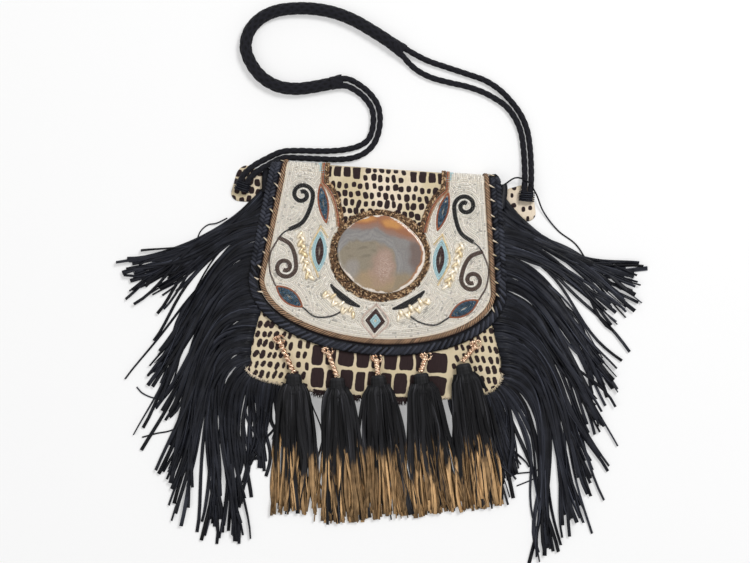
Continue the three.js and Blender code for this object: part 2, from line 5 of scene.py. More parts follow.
import bpy
import numpy as np
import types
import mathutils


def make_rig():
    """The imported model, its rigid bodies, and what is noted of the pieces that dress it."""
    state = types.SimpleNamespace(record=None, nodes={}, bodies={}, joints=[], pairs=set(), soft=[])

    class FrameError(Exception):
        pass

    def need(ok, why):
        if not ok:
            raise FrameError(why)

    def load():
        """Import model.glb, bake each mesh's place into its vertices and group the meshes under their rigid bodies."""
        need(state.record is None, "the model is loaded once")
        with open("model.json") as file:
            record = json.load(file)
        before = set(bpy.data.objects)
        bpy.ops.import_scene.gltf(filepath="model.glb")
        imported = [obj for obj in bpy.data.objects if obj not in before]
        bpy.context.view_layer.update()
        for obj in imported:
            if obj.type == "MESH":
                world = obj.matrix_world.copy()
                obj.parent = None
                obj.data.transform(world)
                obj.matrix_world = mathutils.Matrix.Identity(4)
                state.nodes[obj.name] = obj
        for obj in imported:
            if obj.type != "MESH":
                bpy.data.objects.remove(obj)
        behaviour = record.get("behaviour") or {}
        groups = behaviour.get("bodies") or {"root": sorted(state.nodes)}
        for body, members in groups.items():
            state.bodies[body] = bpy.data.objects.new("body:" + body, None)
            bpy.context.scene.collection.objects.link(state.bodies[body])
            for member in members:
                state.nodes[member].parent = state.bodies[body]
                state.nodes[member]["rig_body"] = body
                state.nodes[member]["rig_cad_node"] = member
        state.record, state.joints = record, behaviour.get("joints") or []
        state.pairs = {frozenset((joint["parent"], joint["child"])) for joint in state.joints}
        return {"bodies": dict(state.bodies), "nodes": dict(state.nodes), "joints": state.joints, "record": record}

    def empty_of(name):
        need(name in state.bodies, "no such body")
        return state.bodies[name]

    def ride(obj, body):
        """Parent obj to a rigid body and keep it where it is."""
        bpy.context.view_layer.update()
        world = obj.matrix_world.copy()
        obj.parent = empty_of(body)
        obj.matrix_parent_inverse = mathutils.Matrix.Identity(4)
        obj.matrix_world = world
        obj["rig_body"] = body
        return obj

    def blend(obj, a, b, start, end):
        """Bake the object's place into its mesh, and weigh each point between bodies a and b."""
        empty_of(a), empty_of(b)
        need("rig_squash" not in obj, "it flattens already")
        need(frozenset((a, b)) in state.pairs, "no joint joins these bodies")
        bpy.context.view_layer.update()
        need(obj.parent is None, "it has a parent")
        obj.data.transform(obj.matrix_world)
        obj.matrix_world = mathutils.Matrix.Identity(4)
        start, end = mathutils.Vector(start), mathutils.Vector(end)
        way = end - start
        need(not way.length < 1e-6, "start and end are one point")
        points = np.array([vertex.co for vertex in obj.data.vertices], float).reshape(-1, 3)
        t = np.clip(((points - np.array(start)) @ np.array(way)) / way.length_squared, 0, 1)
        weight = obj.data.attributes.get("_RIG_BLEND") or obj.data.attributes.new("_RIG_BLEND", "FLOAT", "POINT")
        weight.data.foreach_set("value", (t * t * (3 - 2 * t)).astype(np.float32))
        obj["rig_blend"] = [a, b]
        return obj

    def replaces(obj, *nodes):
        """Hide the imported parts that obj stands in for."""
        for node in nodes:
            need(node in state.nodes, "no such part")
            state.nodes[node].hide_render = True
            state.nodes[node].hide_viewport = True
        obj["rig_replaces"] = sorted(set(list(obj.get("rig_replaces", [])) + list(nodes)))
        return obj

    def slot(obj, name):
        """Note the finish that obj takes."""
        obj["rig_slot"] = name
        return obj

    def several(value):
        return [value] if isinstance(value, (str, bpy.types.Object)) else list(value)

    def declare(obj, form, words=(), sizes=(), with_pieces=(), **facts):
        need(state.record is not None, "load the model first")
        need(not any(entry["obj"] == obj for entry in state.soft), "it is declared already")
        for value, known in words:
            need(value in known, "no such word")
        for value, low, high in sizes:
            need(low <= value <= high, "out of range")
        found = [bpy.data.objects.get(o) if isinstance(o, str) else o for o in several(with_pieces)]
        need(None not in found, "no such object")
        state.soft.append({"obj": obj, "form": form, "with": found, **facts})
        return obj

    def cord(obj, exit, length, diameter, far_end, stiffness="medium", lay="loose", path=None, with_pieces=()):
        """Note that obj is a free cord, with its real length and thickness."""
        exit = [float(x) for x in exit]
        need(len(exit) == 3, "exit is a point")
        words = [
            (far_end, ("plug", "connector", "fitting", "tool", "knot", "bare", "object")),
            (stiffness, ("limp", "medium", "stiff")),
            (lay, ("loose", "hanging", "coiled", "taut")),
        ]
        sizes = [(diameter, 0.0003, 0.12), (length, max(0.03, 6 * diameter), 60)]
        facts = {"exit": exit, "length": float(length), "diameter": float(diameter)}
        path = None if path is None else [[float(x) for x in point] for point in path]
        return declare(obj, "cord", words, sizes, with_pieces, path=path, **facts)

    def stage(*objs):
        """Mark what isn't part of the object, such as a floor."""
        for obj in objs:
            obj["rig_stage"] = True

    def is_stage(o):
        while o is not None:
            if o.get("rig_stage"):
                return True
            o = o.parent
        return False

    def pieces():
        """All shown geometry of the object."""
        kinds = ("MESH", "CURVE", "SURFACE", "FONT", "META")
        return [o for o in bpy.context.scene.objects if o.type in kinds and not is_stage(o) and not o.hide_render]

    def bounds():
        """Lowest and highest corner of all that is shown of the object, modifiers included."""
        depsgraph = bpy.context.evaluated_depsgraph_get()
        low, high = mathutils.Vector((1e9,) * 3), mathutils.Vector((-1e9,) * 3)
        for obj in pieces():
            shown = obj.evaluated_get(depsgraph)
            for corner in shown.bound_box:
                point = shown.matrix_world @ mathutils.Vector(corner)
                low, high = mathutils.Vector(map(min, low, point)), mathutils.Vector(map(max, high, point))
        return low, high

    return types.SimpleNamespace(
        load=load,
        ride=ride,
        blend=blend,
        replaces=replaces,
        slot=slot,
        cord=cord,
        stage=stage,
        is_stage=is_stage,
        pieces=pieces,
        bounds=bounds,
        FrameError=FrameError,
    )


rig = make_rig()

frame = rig.load()
cad_box = [list(corner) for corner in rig.bounds()]
scene = bpy.context.scene

# Sizes in millimetres, the same as in the solids
MM = 0.001
CLEARANCE = 0.3
LEATHER = 2.4
BAG_LENGTH = 250.0
TOP_HALF_WIDTH = 128.0
BASE_HALF_WIDTH = 143.0
MOUTH_DEPTH = 16.0
BASE_DEPTH = 27.0
MOUTH_INSET = 24.0
BASE_TUCK = 8.0  # how much shorter the front is than the bag
STRAIGHT_SHARE = 0.82  # of the front, from its top to where its lower corners begin
SPLAY = 2.0
RIM = 2.0
FLAP_LIFT = 5.0
FLAP_TOP_HALF = 116.0
FLAP_LOW_HALF = 131.0
FLAP_STRAIGHT = 119.0
FLAP_ROUND = 65.0
EDGE_CORD_WIDTH = 7.5
LACING_WIDTH = 12.0
WINDOW_TOP_HALF = 67.0
WINDOW_STRAIGHT = 10.0
WINDOW_CORD_WIDTH = 5.0
WINDOW_MEETS = math.radians(35)
BEZEL_HALF_WIDTH = 56.0
BEZEL_HALF_LENGTH = 51.0
STONE_HALF_WIDTH = 48.5
STONE_HALF_LENGTH = 43.0
STONE_HEIGHT = 8.0
STONE_Y = -86.0
TASSEL_PITCH = 54.0
TASSEL_MIDDLE = 4.0
TASSEL_GAP = 4.0
# Each tassel in turn: how much lower it is sewn on, how far aside its head hangs, its loop's length
HANGS = [(11.0, 19.0, 33.0), (0.0, 12.5, 26.0), (0.0, 3.0, 16.0), (0.0, -4.5, 16.0), (6.0, -13.5, 18.0)]
LOOP_RADIUS = 2.6
HEAD_LENGTH = 22.0
HEAD_TOP_RADIUS = 8.5
HEAD_RADIUS = 10.5
HEAD_FLAT = 0.62
SKIRT_LENGTH = 128.0
TAB_WIDTH = 36.0
TAB_LENGTH = 40.0
TAB_THICKNESS = 4.0
CORD_RADIUS = 3.25
SLEEVE_RADIUS = 6.75

# Frame of the sloping front: its origin is the hinge line
HINGE_Z = MOUTH_DEPTH + FLAP_LIFT
FOLD_RADIUS = (HINGE_Z - LEATHER / 2) / 2
HINGE_Y = BAG_LENGTH / 2 - FOLD_RADIUS - LEATHER / 2
TILT = math.atan2(BASE_DEPTH - MOUTH_DEPTH, BAG_LENGTH)
FRONT_LENGTH = BAG_LENGTH - BASE_TUCK
SIDE_END = -STRAIGHT_SHARE * FRONT_LENGTH
FRONT_FACE = -FLAP_LIFT
FRONT_BACK = FRONT_FACE - LEATHER
FLAP_TOP = LEATHER / 2

# Beads
BEAD_RADIUS = 0.95
BEAD_LENGTH = 1.5
BEAD_SPACING = 1.6
ROW_PITCH = 2.0
MOTIF_PITCH = 1.85
MOTIF_SIZE = 1.05  # of a bead in a motif, against one in the field
FIRST_ROW = 0.85  # from a motif's edge to the middle of its first row
BEAD_FLAT = 0.65
FIELD_HEIGHT = FLAP_TOP + BEAD_RADIUS * BEAD_FLAT + 0.1
MOTIF_HEIGHT = FIELD_HEIGHT + 0.6
BAND_HALF_WIDTH = 2.2
FOLD_REACH = 24.0  # how far the beadwork runs over the fold, measured on the leather
CORD_REACH = 19.0  # the same for the corded edges

# View and light, in metres
VIEW_WIDTH = 0.825
VIEW_TURN = math.radians(4)
VIEW_CENTRE = (-0.0033, -0.0008)
CAMERA_HEIGHT = 1.9
FLAP_LEVEL = 0.025
WORLD_LIGHT = 0.4
FLOOR_HALF = 1.6
FLOOR_SHADE = 0.97
FLOOR_GLOW = 0.35  # share of plain white in the floor as the camera sees it
# Lamps: place, size and power
LAMPS = {"key": ((1.3, 1.6, 3.0), 1.1, 75), "fill": ((-1.6, -0.6, 2.8), 2.4, 20)}


def rgb(red, green, blue):
    """A colour written in 0 to 255, as linear light."""
    parts = np.array([red, green, blue]) / 255
    return np.where(parts <= 0.04045, parts / 12.92, ((parts + 0.055) / 1.055) ** 2.4)


def rgba(colour):
    return (*[float(part) for part in colour], 1.0)


CREAM = rgb(234, 218, 196)
CREAM_SHADE = rgb(208, 192, 158)
FELT = rgb(238, 229, 213)
PRINT_DARK = rgb(28, 18, 20)
PRINT_LIGHT = rgb(50, 35, 35)
WHITE_BEAD = rgb(255, 250, 240)
BRONZE = rgb(174, 140, 110)
# painted shade between the edge cord's stitches
BRONZE_GROOVE_SHADE = rgb(34, 25, 20)
SPECK_DARK = rgb(60, 44, 33)
SPECK = rgb(120, 91, 66)
SPECK_LIGHT = rgb(200, 170, 132)
COPPER = rgb(158, 92, 60)
BLACK_BEAD = rgb(8, 8, 10)
BROWN_BEAD = rgb(78, 62, 54)
DARK_BEAD = rgb(62, 40, 38)
PINK_BEAD = rgb(206, 184, 172)
BLUE_BEAD = rgb(18, 38, 56)
BLUE_LIGHT = rgb(92, 138, 168)
TURQUOISE = rgb(188, 221, 227)
GOLD = rgb(220, 198, 154)
GOLD_LIGHT = rgb(250, 240, 220)
# rose gold in painted shade and in painted highlight
ROSE_GOLD_SHADED = rgb(150, 102, 72)
ROSE_GOLD_HIGHLIGHT = rgb(253, 228, 200)
BLACK_LEATHER = rgb(4, 4, 7)
# the lighter grey is both leather tone and the colour of painted highlights
GREY_LEATHER_AND_HIGHLIGHT = rgb(78, 81, 93)


# Camera, light and floor


def make_camera():
    data = bpy.data.cameras.new("camera")
    data.sensor_width = 36.0
    data.lens = data.sensor_width * (CAMERA_HEIGHT - FLAP_LEVEL) / VIEW_WIDTH
    camera = bpy.data.objects.new("camera", data)
    camera.location = (*VIEW_CENTRE, CAMERA_HEIGHT)
    camera.rotation_euler = (0, 0, VIEW_TURN)
    scene.collection.objects.link(camera)
    scene.camera = camera


def make_lamp(name, place, size, power):
    data = bpy.data.lights.new(name, "AREA")
    data.size = size
    data.energy = power
    lamp = bpy.data.objects.new(name, data)
    lamp.location = place
    towards = -np.array(place)
    flat = math.hypot(towards[0], towards[1])
    lamp.rotation_euler = (math.atan2(flat, -towards[2]), 0, math.atan2(-towards[0], towards[1]))
    scene.collection.objects.link(lamp)


def seen_as_background(tree):
    """1 for rays that should see plain white: from the camera, or by way of metal or glass."""
    path = tree.nodes.new("ShaderNodeLightPath")
    total = path.outputs["Is Camera Ray"]
    for other in ("Is Glossy Ray", "Is Transmission Ray"):
        add = tree.nodes.new("ShaderNodeMath")
        add.operation = "MAXIMUM"
        tree.links.new(total, add.inputs[0])
        tree.links.new(path.outputs[other], add.inputs[1])
        total = add.outputs[0]
    return total


def mixed(tree, share, first, second):
    """A shader that passes from one to another by a share."""
    mix = tree.nodes.new("ShaderNodeMixShader")
    for socket, source in zip(mix.inputs, (share, first.outputs[0], second.outputs[0])):
        tree.links.new(source, socket)
    return mix.outputs[0]


def make_world():
    world = bpy.data.worlds.new("world")
    world.use_nodes = True
    scene.world = world
    tree = world.node_tree
    light = tree.nodes["Background"]
    white = tree.nodes.new("ShaderNodeBackground")
    for shader, strength in ((light, WORLD_LIGHT), (white, 1.0)):
        shader.inputs["Color"].default_value = (1, 1, 1, 1)
        shader.inputs["Strength"].default_value = strength
    seen = mixed(tree, seen_as_background(tree), light, white)
    tree.links.new(seen, tree.nodes["World Output"].inputs["Surface"])


def make_floor():
    mesh = bpy.data.meshes.new("floor")
    corners = [(-1, -1), (1, -1), (1, 1), (-1, 1)]
    mesh.from_pydata([(x * FLOOR_HALF, y * FLOOR_HALF, 0) for x, y in corners], [], [(0, 1, 2, 3)])
    floor = bpy.data.objects.new("floor", mesh)
    scene.collection.objects.link(floor)
    material = bpy.data.materials.new("floor")
    material.use_nodes = True
    tree = material.node_tree
    lit = tree.nodes["Principled BSDF"]
    lit.inputs["Base Color"].default_value = (FLOOR_SHADE, FLOOR_SHADE, FLOOR_SHADE, 1)
    lit.inputs["Roughness"].default_value = 0.9
    glow = tree.nodes.new("ShaderNodeEmission")
    share = tree.nodes.new("ShaderNodeMath")
    share.operation = "MULTIPLY"
    share.inputs[1].default_value = FLOOR_GLOW
    tree.links.new(seen_as_background(tree), share.inputs[0])
    seen = mixed(tree, share.outputs[0], lit, glow)
    tree.links.new(seen, tree.nodes["Material Output"].inputs["Surface"])
    mesh.materials.append(material)
    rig.stage(floor)


scene.view_settings.view_transform = "Standard"
make_camera()
make_world()
make_floor()
for lamp_name, settings in LAMPS.items():
    make_lamp(lamp_name, *settings)


# Materials


class Surface:
    """A material that is built up node by node."""

    def __init__(self, name, **values):
        self.material = bpy.data.materials.new(name)
        self.material.use_nodes = True
        self.tree = self.material.node_tree
        self.shader = self.tree.nodes["Principled BSDF"]
        for socket, value in values.items():
            self.shader.inputs[socket.replace("_", " ")].default_value = value

    def node(self, kind, **settings):
        node = self.tree.nodes.new("ShaderNode" + kind)
        for setting, value in settings.items():
            setattr(node, setting, value)
        return node

    def feed(self, socket, source):
        if hasattr(source, "is_output"):
            self.tree.links.new(source, socket)
        elif isinstance(source, np.ndarray):
            socket.default_value = rgba(source)
        else:
            socket.default_value = source

    def value(self, name):
        return self.node("Attribute", attribute_name=name).outputs["Fac"]

    def tint(self):
        return self.node("Attribute", attribute_name="tint").outputs["Color"]

    def noise(self, scale, detail=3.0, stretch=(1, 1, 1)):
        """Cloudy noise from 0 to 1; scale is in patches a metre."""
        place = self.node("TexCoord").outputs["Object"]
        mapping = self.node("Mapping")
        self.feed(mapping.inputs["Vector"], place)
        self.feed(mapping.inputs["Scale"], stretch)
        noise = self.node("TexNoise")
        self.feed(noise.inputs["Vector"], mapping.outputs[0])
        self.feed(noise.inputs["Scale"], scale)
        self.feed(noise.inputs["Detail"], detail)
        return noise.outputs["Fac"]

    def mix(self, share, first, second, blend="MIX"):
        node = self.node("Mix", data_type="RGBA", blend_type=blend)
        self.feed(node.inputs["Factor"], share)
        self.feed(node.inputs[6], first)
        self.feed(node.inputs[7], second)
        return node.outputs[2]

    def sums(self, operation, first, second):
        node = self.node("Math", operation=operation)
        self.feed(node.inputs[0], first)
        self.feed(node.inputs[1], second)
        return node.outputs[0]

    def between(self, source, low, high, start=0.0, end=1.0):
        node = self.node("MapRange", interpolation_type="SMOOTHSTEP")
        for place, item in enumerate((source, low, high, start, end)):
            self.feed(node.inputs[place], item)
        return node.outputs[0]

    def paint(self, source):
        self.feed(self.shader.inputs["Base Color"], source)

    def drive(self, socket, source):
        self.feed(self.shader.inputs[socket], source)

    def bump(self, height, strength, depth):
        node = self.node("Bump")
        self.feed(node.inputs["Height"], height)
        self.feed(node.inputs["Strength"], strength)
        self.feed(node.inputs["Distance"], depth)
        self.feed(self.shader.inputs["Normal"], node.outputs[0])


def hide_material():
    """Hair-on hide: cream with dark printed cells, brushed along the bag."""
    hide = Surface("hide", Roughness=0.72, Sheen_Weight=0.05, Specular_IOR_Level=0.15)
    hair = hide.noise(900, 4, (1, 0.14, 1))
    ragged = hide.sums("MULTIPLY_ADD", hide.noise(420, 2, (1, 0.5, 1)), 0.5)
    ragged.node.inputs[2].default_value = -0.25
    dark = hide.between(hide.sums("ADD", hide.value("print"), ragged), 0.36, 0.64)
    cream = hide.mix(hide.between(hide.noise(26), 0.35, 0.7), CREAM, CREAM_SHADE)
    cream = hide.mix(hide.between(hair, 0.5, 0.75, 0.0, 0.3), cream, CREAM_SHADE * 0.6)
    # pieces with a shade value, the front panel, are mixed towards the darker CREAM_SHADE
    cream = hide.mix(hide.value("shade"), cream, CREAM_SHADE)
    cream = hide.mix(hide.value("felt"), cream, FELT)
    ink = hide.mix(hair, PRINT_DARK, PRINT_LIGHT)
    hide.paint(hide.mix(dark, cream, ink))
    hide.bump(hair, 0.5, 0.0006)
    return hide.material


def leather_material(name, dark, light, roughness, specular, grain):
    """Dyed leather whose tone changes from piece to piece, with a fine grain; on laces the tone also carries painted
    highlights towards the lighter grey.
    """
    leather = Surface(name, Roughness=roughness, Specular_IOR_Level=specular)
    tone_shift = leather.between(leather.noise(70, 4), 0.35, 0.75)
    tone = leather.sums("ADD", leather.value("tone"), leather.sums("MULTIPLY", tone_shift, 0.1))
    leather.paint(leather.mix(tone, dark, light))
    leather.bump(leather.noise(grain, 5), 0.35, 0.0005)
    return leather.material


def tassel_material():
    """Black lace dipped in gold paint at its lower end; the black carries painted highlights and the gold painted
    light and shade.
    """
    lace = Surface("tassel_leather", Specular_IOR_Level=0.12)
    flecks = lace.noise(260, 4, (1, 0.4, 1))
    ragged = lace.sums("MULTIPLY", lace.sums("SUBTRACT", flecks, 0.5), 0.9)
    dipped = lace.between(lace.sums("ADD", lace.value("gold"), ragged), 0.25, 0.75)
    black = lace.mix(lace.value("tone"), rgb(5, 5, 6), rgb(86, 86, 91))
    tone_shift = lace.between(lace.noise(340, 3, (1, 0.3, 1)), 0.2, 0.8, 0.0, 0.3)
    # the gold runs from painted shade to painted highlight, varied in patches by noise
    gold = lace.mix(lace.sums("ADD", lace.value("shine"), tone_shift), rgb(36, 26, 18), rgb(208, 168, 120))
    lace.paint(lace.mix(dipped, black, gold))
    lace.drive("Metallic", lace.sums("MULTIPLY", dipped, 0.35))
    lace.drive("Roughness", lace.between(dipped, 0.0, 1.0, 0.48, 0.4))
    lace.bump(lace.noise(800, 4), 0.3, 0.0004)
    return lace.material


def bead_material(name, roughness, metallic, coat):
    """Glass beads or thread, each with a tint of its own; some tints also carry painted shade and highlight."""
    bead = Surface(name, Roughness=roughness, Metallic=metallic, Coat_Weight=coat, Coat_Roughness=0.2,
                   Specular_IOR_Level=0.25)
    cloud = bead.between(bead.noise(500, 2), 0.3, 0.7, 0.9, 1.0)
    bead.paint(bead.mix(1.0, bead.tint(), cloud, "MULTIPLY"))
    return bead.material


def agate_material():
    stone = Surface("agate", Roughness=0.2, Coat_Weight=0.8, Coat_Roughness=0.05, Subsurface_Weight=0.12)
    stone.shader.inputs["Subsurface Radius"].default_value = (0.006, 0.004, 0.003)
    grain = stone.between(stone.noise(700, 5), 0.35, 0.7, 0.9, 1.06)
    stone.paint(stone.mix(1.0, stone.tint(), grain, "MULTIPLY"))
    stone.bump(stone.noise(420, 4), 0.08, 0.0006)
    return stone.material


def cord_material():
    """Soft black yarn, lighter where its tone carries painted highlights."""
    yarn = Surface("strap_cord", Roughness=0.85, Sheen_Weight=0.06, Specular_IOR_Level=0.2)
    fibre = yarn.noise(1500, 3)
    tone = yarn.sums("ADD", yarn.value("tone"), yarn.sums("MULTIPLY", fibre, 0.4))
    yarn.paint(yarn.mix(tone, rgb(10, 10, 14), rgb(38, 38, 48)))
    yarn.bump(fibre, 0.5, 0.0005)
    return yarn.material


def lining_material():
    cloth = Surface("lining", Roughness=0.9, Sheen_Weight=0.2)
    warp = cloth.noise(1800, 1, (1, 0.1, 0.1))
    weft = cloth.noise(1800, 1, (0.1, 1, 1))
    weave = cloth.sums("MULTIPLY", warp, weft)
    cloth.paint(cloth.mix(cloth.between(weave, 0.1, 0.4), rgb(58, 47, 40), rgb(96, 80, 68)))
    cloth.bump(weave, 0.5, 0.0006)
    return cloth.material


def steel_material():
    steel = Surface("snap_steel", Metallic=0.9)
    scratch = steel.noise(900, 3, (1, 0.08, 1))
    steel.paint(steel.mix(scratch, rgb(150, 150, 152), rgb(196, 196, 198)))
    steel.drive("Roughness", steel.between(scratch, 0.3, 0.7, 0.28, 0.45))
    return steel.material


HIDE = hide_material()
FRINGE_LEATHER = leather_material(
    "black_leather", BLACK_LEATHER, GREY_LEATHER_AND_HIGHLIGHT, roughness=0.4, specular=0.12, grain=900
)
BACK_LEATHER = leather_material(
    "back_leather", rgb(40, 34, 32), rgb(70, 60, 55), roughness=0.65, specular=0.3, grain=420
)
TASSEL_LEATHER = tassel_material()
GLASS_BEADS = bead_material("glass_beads", roughness=0.28, metallic=0.0, coat=0.3)
METAL_BEADS = bead_material("metal_beads", roughness=0.32, metallic=0.45, coat=0.2)
THREAD = bead_material("thread", roughness=0.5, metallic=0.25, coat=0.0)
ROSE_METAL = bead_material("rose_metal", roughness=0.26, metallic=0.8, coat=0.0)
AGATE = agate_material()
CORD = cord_material()
LINING = lining_material()
STEEL = steel_material()


# Meshes, gathered in millimetres

UP = (0.0, 0.0, 1.0)


def dice(seed):
    return np.random.default_rng(seed)


def for_each(value, count):
    """A column of values from one for all or one for each."""
    return np.broadcast_to(np.asarray(value, float), (count,))[:, None]


def at_height(plan, height):
    """Points of a plan at one height, or each at its own."""
    return np.hstack([plan, for_each(height, len(plan))])


def unit(vectors):
    return vectors / np.maximum(np.linalg.norm(vectors, axis=-1, keepdims=True), 1e-9)


def net(rows, columns, wrap=False):
    """Four-cornered faces of a net of points; wrap closes each row on itself."""
    across = columns if wrap else columns - 1
    row, column = np.meshgrid(np.arange(rows - 1), np.arange(across), indexing="ij")
    first = row * columns + column
    second = row * columns + (column + 1) % columns
    return np.stack([first, first + columns, second + columns, second], -1).reshape(-1, 4)


def fan(ring, backwards=False):
    """Triangles that close a ring of corners."""
    ring = np.asarray(ring)
    faces = np.stack([np.full(len(ring) - 2, ring[0]), ring[1:-1], ring[2:]], -1)
    return faces[:, ::-1] if backwards else faces


def closed_tube(rows, around):
    """Faces of a net that wraps round, closed at both ends."""
    ring = np.arange(around)
    return [net(rows, around, True), fan(ring), fan((rows - 1) * around + ring, True)]


def ring_angles(around):
    return np.arange(around) * 2 * np.pi / around


# Where a piece that runs over the fold passes from the bag to the flap
FOLD = "fold"
FOLD_START = tuple(np.array([0, HINGE_Y + 9.0, 12.0]) * MM)
FOLD_END = tuple(np.array([0, HINGE_Y - 4.0, 22.0]) * MM)


class Piece:
    """Corners, faces and values of one object."""

    def __init__(self):
        self.corners = []
        self.faces = []
        self.values = {}
        self.count = 0

    def add(self, corners, faces, **values):
        corners = np.asarray(corners, float).reshape(-1, 3)
        self.corners.append(corners)
        for group in faces:
            if len(group):
                self.faces.append(np.asarray(group) + self.count)
        for name, value in values.items():
            value = np.asarray(value, float)
            if name == "tint":
                value = np.broadcast_to(value, (len(corners), 3))
            else:
                value = np.broadcast_to(value, (len(corners),))
            self.values.setdefault(name, []).append(value)
        self.count += len(corners)

    def build(self, name, material):
        mesh = bpy.data.meshes.new(name)
        corners = np.concatenate(self.corners) * MM
        loops = np.concatenate([group.ravel() for group in self.faces]).astype(np.int32)
        sizes = np.concatenate([np.full(len(group), group.shape[1]) for group in self.faces])
        starts = np.concatenate([[0], np.cumsum(sizes)[:-1]]).astype(np.int32)
        mesh.vertices.add(len(corners))
        mesh.vertices.foreach_set("co", corners.astype(np.float32).ravel())
        mesh.loops.add(len(loops))
        mesh.loops.foreach_set("vertex_index", loops)
        mesh.polygons.add(len(sizes))
        mesh.polygons.foreach_set("loop_start", starts)
        mesh.update(calc_edges=True)
        mesh.validate()
        for attribute, parts in self.values.items():
            data = np.concatenate(parts)
            if attribute == "tint":
                layer = mesh.attributes.new(attribute, "FLOAT_COLOR", "POINT")
                full = np.concatenate([data, np.ones((len(data), 1))], 1)
                layer.data.foreach_set("color", full.astype(np.float32).ravel())
            else:
                layer = mesh.attributes.new(attribute, "FLOAT", "POINT")
                layer.data.foreach_set("value", data.astype(np.float32))
        mesh.polygons.foreach_set("use_smooth", np.full(len(sizes), True))
        mesh.materials.append(material)
        piece = bpy.data.objects.new(name, mesh)
        scene.collection.objects.link(piece)
        return piece

    def settle(self, name, material, slot, body, *nodes):
        """Build the object on a body or over the fold, and name the nodes it stands for."""
        piece = self.build(name, material)
        if body == FOLD:
            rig.blend(piece, "bag", "flap", start=FOLD_START, end=FOLD_END)
        else:
            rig.ride(piece, body)
        if nodes:
            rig.replaces(piece, *nodes)
        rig.slot(piece, slot)
        return piece


def sides_along(path, up=UP):
    """Directions along a path, across it and away from it."""
    way = unit(np.gradient(path, axis=0))
    side = unit(np.cross(way, np.asarray(up, float)))
    return way, side, np.cross(side, way)


def sweep(path, section, up=UP, roll=0.0):
    """A closed body: a section, one for all or one for each station, carried along a path."""
    path = np.asarray(path, float)
    stations = len(path)
    section = np.broadcast_to(np.asarray(section, float), (stations, *np.shape(section)[-2:]))
    _, side, top = sides_along(path, up)
    roll = for_each(roll, stations)
    turned_side = side * np.cos(roll) + top * np.sin(roll)
    turned_top = top * np.cos(roll) - side * np.sin(roll)
    offset = section[:, :, :1] * turned_side[:, None] + section[:, :, 1:] * turned_top[:, None]
    corners = (path[:, None] + offset).reshape(-1, 3)
    return corners, closed_tube(stations, section.shape[1])


def lens(width, thickness):
    """Section of a flat lace with soft edges."""
    half, rise = width / 2, thickness / 2
    flat = half * 0.6
    return [(half, 0), (flat, rise), (-flat, rise), (-half, 0), (-flat, -rise), (flat, -rise)]


def circle(radius, around):
    angle = ring_angles(around)
    return np.stack([radius * np.cos(angle), radius * np.sin(angle)], -1)


class Stud:
    """A small turned body, such as a bead, that is set out many times."""

    def __init__(self, around, profile):
        profile = np.array(profile, float)
        rings = len(profile) - 2
        each = [1] + [around] * rings + [1]
        along, size = np.repeat(profile, each, axis=0).T
        turn = np.concatenate([[0.0], np.tile(ring_angles(around), rings), [0.0]])
        self.along = along
        self.across = size * np.cos(turn)
        self.rise = size * np.sin(turn)
        ring = np.arange(around)
        after = (ring + 1) % around
        last = 1 + (rings - 1) * around
        end = len(along) - 1
        self.faces = [
            net(rings, around, True) + 1,
            np.stack([np.zeros(around, int), 1 + ring, 1 + after], -1),
            np.stack([np.full(around, end), last + after, last + ring], -1),
        ]

    def set_out(self, piece, centres, way, up, length, radius, flat=1.0, arch=0.0, **values):
        centres = np.asarray(centres, float)
        count = len(centres)
        if not count:
            return
        way = unit(way)
        side = unit(np.cross(way, up))
        top = np.cross(side, way)
        length = for_each(length, count)
        radius = for_each(radius, count)
        rise = self.rise * radius * flat - arch * (2 * self.along) ** 2
        corners = (
            centres[:, None]
            + way[:, None] * (self.along * length)[..., None]
            + side[:, None] * (self.across * radius)[..., None]
            + top[:, None] * rise[..., None]
        )
        each = len(self.along)
        shift = (np.arange(count) * each)[:, None, None]
        faces = [(group[None] + shift).reshape(-1, group.shape[1]) for group in self.faces]
        spread = {}
        for name, value in values.items():
            spread[name] = np.repeat(np.asarray(value, float), each, axis=0)
        piece.add(corners.reshape(-1, 3), faces, **spread)


BEAD = Stud(6, [(-0.5, 0), (-0.34, 1), (0.34, 1), (0.5, 0)])
BUGLE = Stud(6, [(-0.5, 0), (-0.42, 0.8), (0.0, 1), (0.42, 0.8), (0.5, 0)])
STITCH = Stud(6, [(-0.5, 0), (-0.44, 0.65), (-0.2, 1), (0.2, 1), (0.44, 0.65), (0.5, 0)])
LACE_WRAP = Stud(8, [
    (-0.5, 0), (-0.46, 0.6), (-0.3, 0.95), (0.0, 1), (0.3, 0.95), (0.46, 0.6), (0.5, 0),
])
HAIR = Stud(3, [(-0.5, 0), (-0.45, 1), (0.2, 0.6), (0.5, 0)])


# Curves


def smooth(t):
    t = np.clip(t, 0, 1)
    return t * t * (3 - 2 * t)


